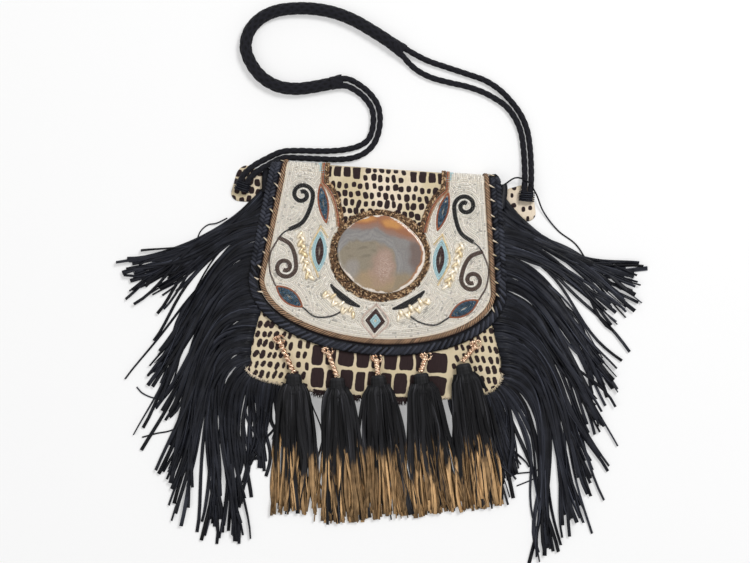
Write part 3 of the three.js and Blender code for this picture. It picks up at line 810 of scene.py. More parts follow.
def through(points, divisions):
    """An even, smooth curve through points; its knots are spaced by the root of each gap."""
    points = np.asarray(points, float)
    first = 2 * points[0] - points[1]
    last = 2 * points[-1] - points[-2]
    knots = np.vstack([first, points, last])
    gaps = np.sqrt(np.linalg.norm(np.diff(knots, axis=0), axis=1))
    times = np.concatenate([[0], np.cumsum(gaps)])
    fine = []
    for i in range(1, len(knots) - 2):
        t = np.linspace(times[i], times[i + 1], 16, endpoint=False)[:, None]
        t0, t1, t2, t3 = times[i - 1 : i + 3]
        p0, p1, p2, p3 = knots[i - 1 : i + 3]
        a1 = (t1 - t) / (t1 - t0) * p0 + (t - t0) / (t1 - t0) * p1
        a2 = (t2 - t) / (t2 - t1) * p1 + (t - t1) / (t2 - t1) * p2
        a3 = (t3 - t) / (t3 - t2) * p2 + (t - t2) / (t3 - t2) * p3
        b1 = (t2 - t) / (t2 - t0) * a1 + (t - t0) / (t2 - t0) * a2
        b2 = (t3 - t) / (t3 - t1) * a2 + (t - t1) / (t3 - t1) * a3
        fine.append((t2 - t) / (t2 - t1) * b1 + (t - t1) / (t2 - t1) * b2)
    fine.append(points[-1:])
    return evenly(np.vstack(fine), divisions)


def lengths_along(path):
    return np.concatenate([[0], np.cumsum(np.linalg.norm(np.diff(path, axis=0), axis=1))])


def points_along(path, places):
    """Points of a path at given lengths along it."""
    along = lengths_along(path)
    return np.stack([np.interp(places, along, part) for part in path.T], -1)


def evenly(path, divisions):
    """The same path with evenly spaced points."""
    path = np.asarray(path, float)
    return points_along(path, np.linspace(0, lengths_along(path)[-1], divisions + 1))


def spaced(path, spacing):
    return evenly(path, max(int(round(lengths_along(path)[-1] / spacing)), 1))


def quadratic(start, pull, end):
    """A curve from start to end, pulled towards a third place."""
    divisions = 24
    t = np.linspace(0, 1, divisions + 1)[:, None]
    start, pull, end = (np.asarray(p, float) for p in (start, pull, end))
    return (1 - t) ** 2 * start + 2 * t * (1 - t) * pull + t**2 * end


def flat_normals(path):
    way = unit(np.gradient(path, axis=0))
    return way, np.stack([-way[:, 1], way[:, 0]], -1)


def moved(path, distance):
    """An outline moved to its left by a distance, one for all or one for each point."""
    _, left = flat_normals(path)
    return path + left * for_each(distance, len(path))


def slope_point(x, y, height):
    """A place on the sloping front, in the row frame."""
    x, y, height = np.broadcast_arrays(*(np.asarray(part, float) for part in (x, y, height)))
    up, along = math.cos(TILT), math.sin(TILT)
    return np.stack([x, HINGE_Y + y * up + height * along, HINGE_Z - y * along + height * up], -1)


def flap_point(x, y, height):
    """A place on the flap; y above zero runs on round the fold to the back."""
    x, y, height = np.broadcast_arrays(*(np.asarray(part, float) for part in (x, y, height)))
    turn = TILT + np.maximum(y, 0) / FOLD_RADIUS
    reach = FOLD_RADIUS + height
    middle_y = HINGE_Y - FOLD_RADIUS * math.sin(TILT)
    middle_z = HINGE_Z - FOLD_RADIUS * math.cos(TILT)
    folded = np.stack([x, middle_y + reach * np.sin(turn), middle_z + reach * np.cos(turn)], -1)
    return np.where((y > 0)[..., None], folded, slope_point(x, y, height))


def on_flap(places, ways, height):
    """Centres, directions and upward directions of small bodies on the flap."""
    step = 0.05
    x, y = places[:, 0], places[:, 1]
    centres = flap_point(x, y, height)
    ahead = flap_point(x + ways[:, 0] * step, y + ways[:, 1] * step, height)
    return centres, ahead - centres, flap_point(x, y, height + 1.0) - centres


def turned(ways, angle):
    cos, sin = math.cos(angle), math.sin(angle)
    return np.stack([ways[:, 0] * cos - ways[:, 1] * sin, ways[:, 0] * sin + ways[:, 1] * cos], -1)


# Outlines in the sloping frame


def ellipse(half_width, half_length, start, end, divisions):
    angle = np.linspace(start, end, divisions + 1)
    return np.stack([half_width * np.cos(angle), STONE_Y + half_length * np.sin(angle)], -1)


def side_x(y):
    """Half width of the front panel on its straight sides."""
    grow = (BASE_HALF_WIDTH - TOP_HALF_WIDTH) / (SIDE_END + MOUTH_INSET)
    return TOP_HALF_WIDTH + grow * (y + MOUTH_INSET)


def front_edge():
    """The front panel's outline from its upper right corner, round the base, to its upper left one."""
    corner = np.array([0.8 * BASE_HALF_WIDTH, -0.955 * FRONT_LENGTH])
    pull = np.array([1.02 * BASE_HALF_WIDTH, 0.98 * corner[1]])
    right = np.vstack([
        [[TOP_HALF_WIDTH, -MOUTH_INSET]],
        quadratic((BASE_HALF_WIDTH, SIDE_END), pull, corner),
        quadratic(corner, (corner[0] / 2, -FRONT_LENGTH), (0, -FRONT_LENGTH))[1:],
    ])
    return np.vstack([right, right[-2::-1] * [-1, 1]])


def flap_half(y):
    return FLAP_TOP_HALF - (FLAP_LOW_HALF - FLAP_TOP_HALF) * y / FLAP_STRAIGHT


def flap_edge(start):
    """The flap's outline from the right at y = start, round the end, to the left."""
    angle = np.linspace(0, -np.pi, 81)
    end = np.stack([FLAP_LOW_HALF * np.cos(angle), -FLAP_STRAIGHT + FLAP_ROUND * np.sin(angle)], -1)
    return np.vstack([[[flap_half(start), start]], end, [[-flap_half(start), start]]])


def lacing_edge_y(x):
    reach = LACING_WIDTH + CLEARANCE
    return -FLAP_STRAIGHT - (FLAP_ROUND + reach) * math.sqrt(1 - (x / (FLAP_LOW_HALF + reach)) ** 2)


def window_edge(start):
    """The right edge of the hide window, from the fold down to the stone's ring."""
    meet = np.array([
        (BEZEL_HALF_WIDTH + CLEARANCE) * math.cos(WINDOW_MEETS),
        STONE_Y + (BEZEL_HALF_LENGTH + CLEARANCE) * math.sin(WINDOW_MEETS),
    ])
    top = (WINDOW_TOP_HALF, -WINDOW_STRAIGHT)
    curve = quadratic(top, (meet[0] * 1.1, -WINDOW_STRAIGHT - 11), meet)
    return np.vstack([[[WINDOW_TOP_HALF, start]], curve])


def stone_edge(divisions):
    """The uneven outline of the stone, flattened at its lower left."""
    angle = np.linspace(0, 2 * np.pi, divisions, endpoint=False)
    wave = 1 + 0.02 * np.cos(3 * angle + 0.6) + 0.014 * np.cos(5 * angle - 1)
    wave -= 0.13 * np.exp(-(((angle - 3.95) / 0.5) ** 2))
    across = STONE_HALF_WIDTH * wave * np.cos(angle)
    return np.stack([across, STONE_Y + STONE_HALF_LENGTH * wave * np.sin(angle)], -1)


# Strap: a knitted sleeve and two pairs of braided cords


LOW = CORD_RADIUS + CLEARANCE
HIGH = SLEEVE_RADIUS + CLEARANCE
ON_TAB = TAB_THICKNESS + 3 * CLEARANCE + CORD_RADIUS
SLEEVE_PLAN = [
    (-63.2, 216.3), (-75, 213), (-90, 209.2), (-106, 206.5), (-126, 208), (-144.3, 216.9),
    (-157.6, 231.6), (-164.6, 248), (-162.2, 266), (-151, 281.3), (-133.8, 291.1), (-112, 295.6),
    (-91, 296.4), (-69, 293.8), (-46.5, 286.8), (-26.8, 277.3), (-11.3, 269), (2.7, 260.8),
]
SLEEVE_ROUTE = [(x, y, HIGH) for x, y in SLEEVE_PLAN]
RIGHT_UPPER_ROUTE = [
    (5.2, 263.5, HIGH), (14, 258.6, 6.6), (37.1, 248.6, LOW), (59.9, 242.4, LOW), (82.7, 236.6, LOW),
    (103.3, 230.8, LOW), (119.6, 221.9, LOW), (133.9, 209.5, LOW), (146.1, 194.7, LOW), (154, 178.4, LOW),
    (158.5, 158.6, LOW), (161, 138.6, 4.6), (161.9, 122, ON_TAB), (162, 112, ON_TAB), (161.7, 101, ON_TAB),
]
RIGHT_LOWER_ROUTE = [
    (1.9, 257.2, HIGH), (9.6, 251.4, 6.6), (17.8, 243.8, LOW), (27, 236.9, LOW), (42.9, 230, LOW),
    (63.3, 225.8, LOW), (83.7, 222.6, LOW), (102, 217.6, LOW), (116, 211.4, LOW), (128.6, 203.6, LOW),
    (139.9, 190.6, LOW), (147, 175.9, LOW), (151.2, 157.2, LOW), (153.7, 137.9, 4.6),
    (154.7, 122, ON_TAB), (154.8, 112, ON_TAB), (154.5, 101, ON_TAB),
]
LEFT_UPPER_ROUTE = [
    (-61.7, 220.2, HIGH), (-49, 221.5, 6.4), (-32, 213.9, LOW), (-21.4, 205.2, LOW), (-13.8, 194.7, LOW),
    (-10.5, 182.6, LOW), (-10.2, 171.4, LOW), (-11.7, 161.4, LOW), (-16, 150.5, LOW), (-24.9, 141, LOW),
    (-36.8, 134.9, LOW), (-53.2, 131.8, LOW), (-73.3, 130.9, LOW), (-94, 130.4, LOW), (-115.7, 128.8, LOW),
    (-129.5, 120.6, 7.2), (-143, 111.2, ON_TAB), (-151.6, 101, ON_TAB), (-154.6, 90, ON_TAB),
]
LEFT_LOWER_ROUTE = [
    (-61.1, 213, HIGH), (-49.8, 213.5, 6.4), (-35.8, 207.3, LOW), (-26.9, 199.9, LOW), (-20.6, 191.4, LOW),
    (-17.9, 181.5, LOW), (-17.7, 171.8, LOW), (-18.9, 163.6, LOW), (-22.6, 155.2, LOW), (-32, 148.2, LOW),
    (-47.3, 143.1, LOW), (-62.8, 140.6, LOW), (-78.4, 139.3, LOW), (-98.3, 138.4, LOW), (-116.6, 136, LOW),
    (-133.5, 126.9, 5.2), (-148.5, 116.4, ON_TAB), (-158.2, 105, ON_TAB), (-161.8, 91, ON_TAB),
]


def make_cord(name, route, radius, strands, lay_length, relief):
    """A round braid: two sets of strands that wind opposite ways and cross over each other."""
    path = through(route, int(lengths_along(np.asarray(route, float))[-1] / 0.9))
    path[:, 2] = np.maximum(path[:, 2], radius + CLEARANCE)
    along = lengths_along(path)
    angle = ring_angles(6 * strands)
    turn = 2 * np.pi * along[:, None] / lay_length
    first = np.cos(strands * angle[None] + turn)
    second = np.cos(strands * angle[None] - turn)
    raised = np.maximum(first, second)
    size = radius * (1 + relief * (raised - 0.6))
    section = size[..., None] * np.stack([np.cos(angle), np.sin(angle)], -1)[None]
    piece = Piece()
    # painted highlight on the raised strands and painted shade in the grooves between them
    piece.add(*sweep(path, section), tone=(0.25 * (raised - 0.3)).ravel())
    cord = piece.settle(name, CORD, "strap_cord", "bag", name)
    points = [tuple(point * MM) for point in path]
    return cord, points, along[-1] * MM


def make_collar(name, end, way):
    """A knitted cuff that closes the sleeve round a pair of cords."""
    stations, around = 20, 48
    inside, outside = 5.0, 9.0
    pair_half_width, pair_half_height = 7.5, 3.9
    t = np.linspace(0, 1, stations)
    path = np.asarray(end, float) + np.asarray(way, float) * (-inside + (inside + outside) * t)[:, None]
    path[:, 2] += 0.3 - 0.8 * t
    angle = ring_angles(around)
    knit = 1 + 0.05 * np.cos(8 * angle[None] + 9 * t[:, None])
    across = SLEEVE_RADIUS * 1.03 + (pair_half_width - SLEEVE_RADIUS) * smooth(t)
    rise = SLEEVE_RADIUS * 1.03 + (pair_half_height - SLEEVE_RADIUS) * smooth(1.2 * t)
    wide = across[:, None] * knit * np.cos(angle)
    tall = rise[:, None] * knit * np.sin(angle)
    piece = Piece()
    # painted highlight on the knit's ridges and painted shade between them
    piece.add(*sweep(path, np.stack([wide, tall], -1)), tone=(2 * (knit - 1)).ravel())
    return piece.settle(name, CORD, "strap_cord", "bag")


def make_strap():
    pairs = [
        ("right_strap_cord_upper", RIGHT_UPPER_ROUTE), ("right_strap_cord_lower", RIGHT_LOWER_ROUTE),
        ("left_strap_cord_upper", LEFT_UPPER_ROUTE), ("left_strap_cord_lower", LEFT_LOWER_ROUTE),
    ]
    for name, route in pairs:
        cord, points, length = make_cord(
            name, route, CORD_RADIUS, strands=4, lay_length=9.0, relief=0.12
        )
        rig.cord(cord, exit=points[-1], length=length, diameter=2 * CORD_RADIUS * MM, far_end="object",
                stiffness="limp", lay="loose", path=points)
    sleeve, points, length = make_cord(
        "strap_sleeve", SLEEVE_ROUTE, SLEEVE_RADIUS, strands=6, lay_length=11.0, relief=0.1
    )
    first, second, before, last = (np.array(SLEEVE_ROUTE[place]) for place in (0, 1, -2, -1))
    collars = [
        make_collar("left_strap_collar", first, unit(first - second)),
        make_collar("right_strap_collar", last, unit(last - before)),
    ]
    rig.cord(sleeve, exit=points[0], length=length, diameter=2 * SLEEVE_RADIUS * MM, far_end="object",
            stiffness="limp", lay="loose", path=points, with_pieces=collars)


make_strap()


# Printed hide


# Cells of the print: pitch across and along, half width, half length, squareness, unevenness and lean
CELL_STYLES = {
    "middle": (8.4, 11.5, 2.6, 4.4, 3.4, 0.08, -0.1),
    "slender": (7.2, 11.0, 2.65, 5.0, 2.6, 0.12, -0.35),
    "upright": (7.3, 11.0, 2.5, 4.6, 3.4, 0.1, 0.4),
    "window": (7.6, 9.6, 2.95, 4.1, 2.9, 0.13, 0.1),
    "ear": (8.4, 10.0, 3.5, 4.3, 3.2, 0.1, 0.0),
    "spot": (9.5, 11.0, 2.5, 2.9, 2.5, 0.16, 0.2),
}


def print_cells(zone_of, low, high, seed):
    """Cells of the print as rows of (x, y, half width, half height, lean, squareness).

    zone_of(x, y) names the zone at a place; each zone has a style of its own.
    """
    roll = dice(seed)
    cells = []
    for zone, (pitch_x, pitch_y, half_x, half_y, square, uneven, lean) in CELL_STYLES.items():
        for row, y in enumerate(np.arange(low[1], high[1], pitch_y)):
            for x in np.arange(low[0], high[0], pitch_x):
                shift = roll.uniform(-uneven, uneven, 2) * (pitch_x, pitch_y)
                stretch = 1 + roll.uniform(-2.0, 1.0, 2) * uneven
                slant = lean + roll.normal(0, uneven)
                place = np.array([x + (row % 2) * pitch_x * 0.3, y]) + shift
                if zone_of(*place) == zone:
                    cells.append((*place, half_x * stretch[0], half_y * stretch[1], slant, square))
    return cells


def block_cells(left, right, rows, widths, line, seed):
    """Rows of upright blocks of several widths; each row is a middle height and half a height."""
    roll = dice(seed)
    cells = []
    for y, half_y in rows:
        x = left
        while x + widths[0] <= right:
            width = roll.choice([choice for choice in widths if x + choice <= right])
            width = right - x if right - x - width < widths[0] else width
            half_x = (width - line) / 2
            tall = half_y * roll.uniform(0.93, 1.03)
            middle = y + roll.normal(0, 0.3)
            lean = roll.normal(0, 0.03)
            cells.append((x + width / 2, middle, half_x, tall, lean, BLOCK_SQUARENESS))
            x += width
    return cells


def print_darkness(x, y, cells):
    """How dark the print is at each place, from 0 to 1."""
    wavy_x = x + 0.3 * np.sin(y / 3.1 + 1.3 * np.sin(x / 5.1)) + 0.3 * np.sin(y / 7 + x / 5)
    wavy_y = y + 0.3 * np.sin(x / 2.9 + 1.7 * np.sin(y / 5.3)) + 0.3 * np.sin(x / 6 - y / 5)
    dark = np.zeros(np.shape(x))
    for cell_x, cell_y, half_x, half_y, lean, square in cells:
        near = (np.abs(x - cell_x) < 1.5 * half_x + 1) & (np.abs(y - cell_y) < 1.5 * half_y + 1)
        across = wavy_x[near] - cell_x
        up = wavy_y[near] - cell_y
        reach_x = np.abs((across + lean * up) / half_x) ** square
        reach_y = np.abs((up - lean * across) / half_y) ** square
        reach = (reach_x + reach_y) ** (1 / square)
        soft = 0.9 / half_x
        dark[near] = np.maximum(dark[near], smooth((1 + soft - reach) / (2 * soft)))
    return dark


# Rows of blocks down the middle of the front and on the fold beside the window
BLOCK_SQUARENESS = 6.0
BLOCKS_LEFT, BLOCKS_RIGHT = -68.0, 84.0
BLOCK_WIDTHS = (13.0, 14.5, 17.5, 19.5)
BLOCK_LINE = 2.7
BLOCK_HALF_HEIGHT = 10.9
BLOCK_PITCH = 25.4
LOWEST_BLOCK = -224.8
WINDOW_BLOCKS = 26.0
WINDOW_BLOCK_REACH = 42.0
WINDOW_BLOCK_ROWS = [(4.0, 6.8), (20.0, 6.8)]
WINDOW_BLOCK_WIDTHS = (9.0, 10.2, 11.2)
WINDOW_BLOCK_LINE = 2.5


def front_zone(x, y):
    if BLOCKS_LEFT - 3 < x < BLOCKS_RIGHT + 3:
        return None
    if BLOCKS_LEFT - 20 < x < 0:
        return "middle"
    return "slender" if x < 0 else "upright"


def window_zone(x, y):
    return None if abs(x) > WINDOW_BLOCKS - 2 and y > -5 else "window"


def side_zone(x, y):
    return "slender"


def ear_zone(x, y):
    return "ear" if x < 0 else "spot"


def sides_and_base(values):
    """The values of a net down its left side, along its base and up its right side."""
    return np.concatenate([values[:, 0], values[-1, 1:-1], values[::-1, -1]])


def make_front_panel():
    """The front panel, printed and slightly swollen, with its cut edge turned down."""
    columns, rows = 225, 183
    # the whole front panel's cream is mixed this far towards the darker CREAM_SHADE
    tone_shift = 0.7
    edge = front_edge()
    base = edge[edge[:, 1] <= SIDE_END + 0.01]
    share = np.linspace(-1, 1, columns)
    base_x = BASE_HALF_WIDTH * share
    base_y = np.interp(base_x, base[::-1, 0], base[::-1, 1])
    down = np.linspace(0, 1, rows)[:, None]
    y = -MOUTH_INSET + down * (base_y + MOUTH_INSET)
    x = share * side_x(np.maximum(y, SIDE_END))
    side_gap = (1 - np.abs(share)) * BASE_HALF_WIDTH
    base_gap = (1 - down) * (FRONT_LENGTH - MOUTH_INSET)
    rounding = -1.0 * np.exp(-np.minimum(side_gap, base_gap) / 2.0)
    ripple = 0.25 * np.sin(x / 17 + y / 29) + 0.2 * np.sin(x / 9.5 - y / 23)
    height = FRONT_FACE + rounding + ripple * smooth(base_gap / 20) * 0.6
    middles = np.arange(LOWEST_BLOCK, -MOUTH_INSET, BLOCK_PITCH)
    block_rows = [(middle, BLOCK_HALF_HEIGHT) for middle in middles]
    cells = block_cells(BLOCKS_LEFT, BLOCKS_RIGHT, block_rows, BLOCK_WIDTHS, BLOCK_LINE, seed=12)
    cells += print_cells(front_zone, (-150, -246.9), (150, -20), seed=11)
    dark = print_darkness(x, y, cells)
    piece = Piece()
    piece.add(slope_point(x, y, height), [net(rows, columns)], print=dark.ravel(), shade=tone_shift)
    rim_x, rim_y, rim_top, rim_dark = (sides_and_base(part) for part in (x, y, height, dark))
    rim_points = np.stack([slope_point(rim_x, rim_y, rim_top), slope_point(rim_x, rim_y, FRONT_BACK)])
    piece.add(rim_points, [net(2, len(rim_x))[:, ::-1]], print=np.tile(rim_dark, 2), shade=tone_shift)
    sparse = slice(None, None, 7)
    under = slope_point(x[sparse, sparse], y[sparse, sparse], FRONT_BACK)
    piece.add(under, [net(*under.shape[:2])[:, ::-1]], print=0.0, shade=tone_shift)
    piece.settle("front_hide", HIDE, "hide", "bag", "front_panel")


def window_half(y):
    """Half width of the hide window at a height."""
    edge = window_edge(FOLD_REACH)
    return np.interp(y, edge[::-1, 1], edge[::-1, 0])


def make_flap_hide():
    """The flap's leather in one piece, from the back panel round the fold to the rounded end."""
    fine_half, fine_end = 78.0, -70.0  # the window's print has a finer net
    fine_x = np.arange(-fine_half, fine_half + 0.5, 1.0)
    share = np.unique(np.concatenate([np.linspace(-1, 1, 61), fine_x / FLAP_LOW_HALF]))
    end_y = -FLAP_STRAIGHT - FLAP_ROUND * np.sqrt(np.maximum(1 - share**2, 0))
    fold_y = np.pi * FOLD_RADIUS
    above = np.concatenate([
        np.arange(fold_y, fine_end, -1.0), np.linspace(fine_end, -FLAP_STRAIGHT, 12)[1:],
    ])
    below = np.linspace(0, 1, 16)[1:, None]
    y = np.vstack([
        np.repeat(above[:, None], len(share), 1),
        -FLAP_STRAIGHT + below * (end_y + FLAP_STRAIGHT),
    ])
    x = share * flap_half(np.maximum(y, -FLAP_STRAIGHT))
    cells = print_cells(window_zone, (-82, -78), (82, 40), seed=5)
    for left in (WINDOW_BLOCKS, -WINDOW_TOP_HALF - 1):
        right = left + WINDOW_BLOCK_REACH
        cells += block_cells(
            left, right, WINDOW_BLOCK_ROWS, WINDOW_BLOCK_WIDTHS, WINDOW_BLOCK_LINE, seed=6
        )
    in_window = (np.abs(x) < window_half(y) + 2.5) & (y > STONE_Y)
    dark = np.where(in_window, print_darkness(x, y, cells), 0.0)
    dark[:, [0, -1]] = 1.0
    dark[-1] = 1.0
    felt = np.where(in_window, 0.0, 1.0).ravel()
    rows, columns = x.shape
    count = rows * columns
    top = flap_point(x, y, FLAP_TOP).reshape(-1, 3)
    under = flap_point(x, y, -FLAP_TOP).reshape(-1, 3)
    loop = np.concatenate([
        np.arange(columns),
        np.arange(2, rows) * columns - 1,
        np.arange(count - 1, count - 1 - columns, -1),
        np.arange(rows - 2, 0, -1) * columns,
    ])
    after = np.roll(loop, -1)
    rim = np.stack([loop, after, after + count, loop + count], -1)
    faces = [net(rows, columns), net(rows, columns)[:, ::-1] + count, rim]
    piece = Piece()
    darkness = np.concatenate([dark.ravel(), np.ones(count)])
    piece.add(np.vstack([top, under]), faces, print=darkness, felt=np.concatenate([felt, 0 * felt]))
    piece.settle("flap_hide", HIDE, "hide", FOLD, "flap_panel", "flap_fold")


make_front_panel()
make_flap_hide()


# Beadwork


def distance_inside(x, y, outline):
    """Distance to an outline, positive inside it."""
    nearest = np.full(x.shape, np.inf)
    inside = np.zeros(x.shape, bool)
    for (ax, ay), (bx, by) in zip(outline, np.roll(outline, -1, axis=0)):
        ex, ey = bx - ax, by - ay
        share = np.clip(((x - ax) * ex + (y - ay) * ey) / max(ex * ex + ey * ey, 1e-12), 0, 1)
        nearest = np.minimum(nearest, (x - ax - share * ex) ** 2 + (y - ay - share * ey) ** 2)
        if ay != by:
            inside ^= ((ay > y) != (by > y)) & (x < ex * (y - ay) / ey + ax)
    return np.where(inside, 1, -1) * np.sqrt(nearest)


def level_lines(values, xs, ys, level):
    """Paths along which a grid of values crosses a level (marching squares)."""
    above = values > level
    corner_sum = above[:-1, :-1] * 1 + above[:-1, 1:] * 1 + above[1:, :-1] * 1 + above[1:, 1:] * 1
    joined = {}
    place = {}

    def crossing(i, j, upright):
        key = (i, j, upright)
        if key not in place:
            k, m = (i + 1, j) if upright else (i, j + 1)
            share = (level - values[i, j]) / (values[k, m] - values[i, j])
            place[key] = (xs[j] + share * (xs[m] - xs[j]), ys[i] + share * (ys[k] - ys[i]))
        return key

    for i, j in zip(*np.nonzero((corner_sum > 0) & (corner_sum < 4))):
        found = []
        if above[i, j] != above[i, j + 1]:
            found.append(crossing(i, j, False))
        if above[i, j + 1] != above[i + 1, j + 1]:
            found.append(crossing(i, j + 1, True))
        if above[i + 1, j] != above[i + 1, j + 1]:
            found.append(crossing(i + 1, j, False))
        if above[i, j] != above[i + 1, j]:
            found.append(crossing(i, j, True))
        for first, second in zip(found[::2], found[1::2]):
            joined.setdefault(first, []).append(second)
            joined.setdefault(second, []).append(first)

    paths = []
    left = dict.fromkeys(sorted(joined, key=lambda key: len(joined[key])))
    while left:
        here = next(iter(left))
        path = [here]
        del left[here]
        onward = True
        while onward:
            onward = [key for key in joined[path[-1]] if key in left]
            if onward:
                path.append(onward[0])
                del left[onward[0]]
        if len(path) > 2 and path[0] in joined[path[-1]]:
            path.append(path[0])
        paths.append(np.array([place[key] for key in path]))
    return paths


def bead_rows(values, xs, ys, level):
    """Bead places and directions along one row of beadwork."""
    places, ways = [], []
    for path in level_lines(values, xs, ys, level):
        if len(path) < 3 or lengths_along(path)[-1] < 1.5 * BEAD_SPACING:
            continue
        row = spaced(path, BEAD_SPACING)
        places.append(row)
        ways.append(unit(np.gradient(row, axis=0)))
    if not places:
        return np.zeros((0, 2)), np.zeros((0, 2))
    return np.vstack(places), np.vstack(ways)


def tints(count, colour, light, roll, spread=0.5):
    """A tint for each bead, between two colours, with a few brighter ones."""
    share = np.clip(roll.beta(1.4, 3.0, count) * spread * 2, 0, 1)[:, None]
    return colour * (1 - share) + light * share


SIDES = (("left_", -1), ("right_", 1))  # the start of a piece's name, and the sign of x on that side


def leaf(start, end, half_width):
    start, end = np.asarray(start, float), np.asarray(end, float)
    middle = (start + end) / 2
    way = unit(end - start)
    pull = np.array([-way[1], way[0]]) * 2 * half_width
    return np.vstack([quadratic(start, middle + pull, end), quadratic(end, middle - pull, start)[1:-1]])


def scroll(centre, clockwise, tail):
    """A spiral from the middle outwards that runs on into a tail."""
    steps, turns = 16, 1.3
    inner, radius = 3.2, 12.0
    share = np.arange(steps + 1) / steps
    left = (1 - share) * turns * 2 * np.pi
    angle = np.pi + (left if clockwise else -left)
    size = inner + (radius - inner) * share
    spiral = np.stack([centre[0] + size * np.cos(angle), centre[1] + size * np.sin(angle)], -1)
    return through(np.vstack([spiral, tail]), 90)


def band(path, half_width):
    return np.vstack([moved(path, half_width), moved(path, -np.asarray(half_width))[::-1]])


SCROLL_UPPER = scroll((90, -25), clockwise=False, tail=[(81, -42), (88, -56), (101, -64)])
SCROLL_LOWER = scroll((103, -106), clockwise=True, tail=[(94, -90), (100, -80), (112, -74)])
LEAF_UPPER = leaf((71, -10), (61, -56), half_width=6)
LEAF_LOWER = leaf((112, -127), (80, -149), half_width=8)
ALMOND = leaf((67, -63), (66, -109), half_width=8)
SPRAY = through([(88, -67), (85, -88), (76, -114)], 40)
CRESCENT_PATH = ellipse(64, 60, math.radians(-36), math.radians(-74), 40)
CRESCENT = band(CRESCENT_PATH, 1 + 2.6 * np.sin(np.linspace(0, np.pi, 41)))
FAN = ellipse(73, 69, math.radians(-40), math.radians(-70), 40)
LOZENGE = np.array([(0, -144), (11, -158), (0, -172), (-11, -158)], float)
PALE = (TURQUOISE, TURQUOISE * 1.15)
# Single rows of coloured beads that link the ornaments
VINES = [
    (through([(101, -64), (107, -68), (112, -74)], 12), BLACK_BEAD),
    (through([(112, -74), (120, -92), (119, -112), (112, -127)], 30), BROWN_BEAD),
    (through([(80, -149), (66, -158), (48, -156), (33, -147)], 30), BLACK_BEAD),
    (through([(0, -139.5), (14.5, -158), (0, -176.5)], 30), PINK_BEAD),
    (through([(67, -58), (77, -86), (66, -114)], 30), GOLD),
    (through([(67, -58), (58.5, -70)], 10), GOLD),
    (moved(window_edge(16.0), 1.2), COPPER),
    (moved(window_edge(16.0), 3.0), BRONZE),
]


def fill_gaps(gap, xs, ys, places):
    """Places for single beads where no row of beads reaches."""
    step = xs[1] - xs[0]
    reach = int(round(1.5 / step))
    around = [(i, j) for i in range(-reach, reach + 1) for j in range(-reach, reach + 1)
              if i * i + j * j <= reach * reach]
    bare = gap > 1.0
    lines = np.rint((places[:, 1] - ys[0]) / step).astype(int)
    columns = np.rint((places[:, 0] - xs[0]) / step).astype(int)

    def cover(line, column):
        for i, j in around:
            bare[np.clip(line + i, 0, len(ys) - 1), np.clip(column + j, 0, len(xs) - 1)] = False

    cover(lines, columns)
    found = []
    for line, column in zip(*np.nonzero(bare)):
        if bare[line, column]:
            found.append((xs[column], ys[line]))
            cover(line, column)
    return np.array(found).reshape(-1, 2)


def make_field():
    """Rows of white beads that follow the flap's edge and wrap round every ornament."""
    step, margin, beyond = 0.65, 0.6, 70.0
    xs = np.arange(-0.3, FLAP_LOW_HALF, step)
    ys = np.arange(-FLAP_STRAIGHT - FLAP_ROUND, FOLD_REACH + 6, step)
    x, y = np.meshgrid(xs, ys)
    outer = moved(flap_edge(beyond), -EDGE_CORD_WIDTH - margin)
    ring_size = (BEZEL_HALF_WIDTH + margin, BEZEL_HALF_LENGTH + margin)
    ring = ellipse(*ring_size, -np.pi - WINDOW_MEETS, WINDOW_MEETS, 60)
    right_window = window_edge(beyond)
    outline = np.vstack([outer, right_window * [-1, 1], ring[1:-1], right_window[::-1]])
    gap = distance_inside(x, y, outline)
    solid = [
        band(SCROLL_UPPER, BAND_HALF_WIDTH), band(SCROLL_LOWER, BAND_HALF_WIDTH), LEAF_UPPER, LEAF_LOWER,
        ALMOND, band(SPRAY, 4.2), CRESCENT, band(FAN, 3.9), LOZENGE,
    ]
    for shape in solid:
        gap = np.minimum(gap, -distance_inside(x, y, shape))
    roll = dice(21)
    levels = np.arange(0.4, gap.max() / ROW_PITCH, 1.0) * ROW_PITCH
    rows = [bead_rows(gap, xs, ys, level) for level in levels]
    extra = fill_gaps(gap, xs, ys, np.vstack([row for row, _ in rows]))
    # every other row of white beads is painted darker: painted shade that draws the lines between the rows
    painted_row_shade = [np.full(len(row), (1.0, 0.88)[number % 2]) for number, (row, _) in enumerate(rows)]
    places = np.vstack([row for row, _ in rows] + [extra])
    ways = np.vstack([way for _, way in rows] + [np.tile([1.0, 0.0], (len(extra), 1))])
    shade = np.concatenate(painted_row_shade + [np.ones(len(extra))])
    kept = (places[:, 0] > 0.4) & (places[:, 1] < FOLD_REACH)
    for side, flip in SIDES:
        row = places[kept] * [flip, 1]
        way = ways[kept] * [flip, 1]
        tint = WHITE_BEAD * (shade[kept] * roll.uniform(0.94, 1.04, len(row)))[:, None]
        dashes = np.convolve(roll.normal(0, 1, len(row)), np.ones(3) / 3, "same")
        tint[dashes > 0.9] *= 0.6
        from_window = np.abs(row[:, 0]) - WINDOW_TOP_HALF
        by_window = (from_window > 0) & (from_window < 8.5 * (row[:, 1] + 17) / 34)
        tint[by_window] = tints(by_window.sum(), *PALE, roll)
        piece = Piece()
        jitter = row + roll.normal(0, 0.06, row.shape)
        size = BEAD_RADIUS * roll.uniform(0.9, 1.04, len(row))
        BEAD.set_out(piece, *on_flap(jitter, way, FIELD_HEIGHT), BEAD_LENGTH, size, BEAD_FLAT, tint=tint)
        for vine, colour in VINES:
            beads = spaced(vine, BEAD_SPACING) * [flip, 1]
            shades = tints(len(beads), colour, colour * 1.5, roll)
            add_motif_beads(piece, beads, flat_normals(beads)[0], shades, roll)
        nodes = ["bead_field"] if flip < 0 else []
        piece.settle(f"{side}bead_field", GLASS_BEADS, "white_beads", FOLD, *nodes)


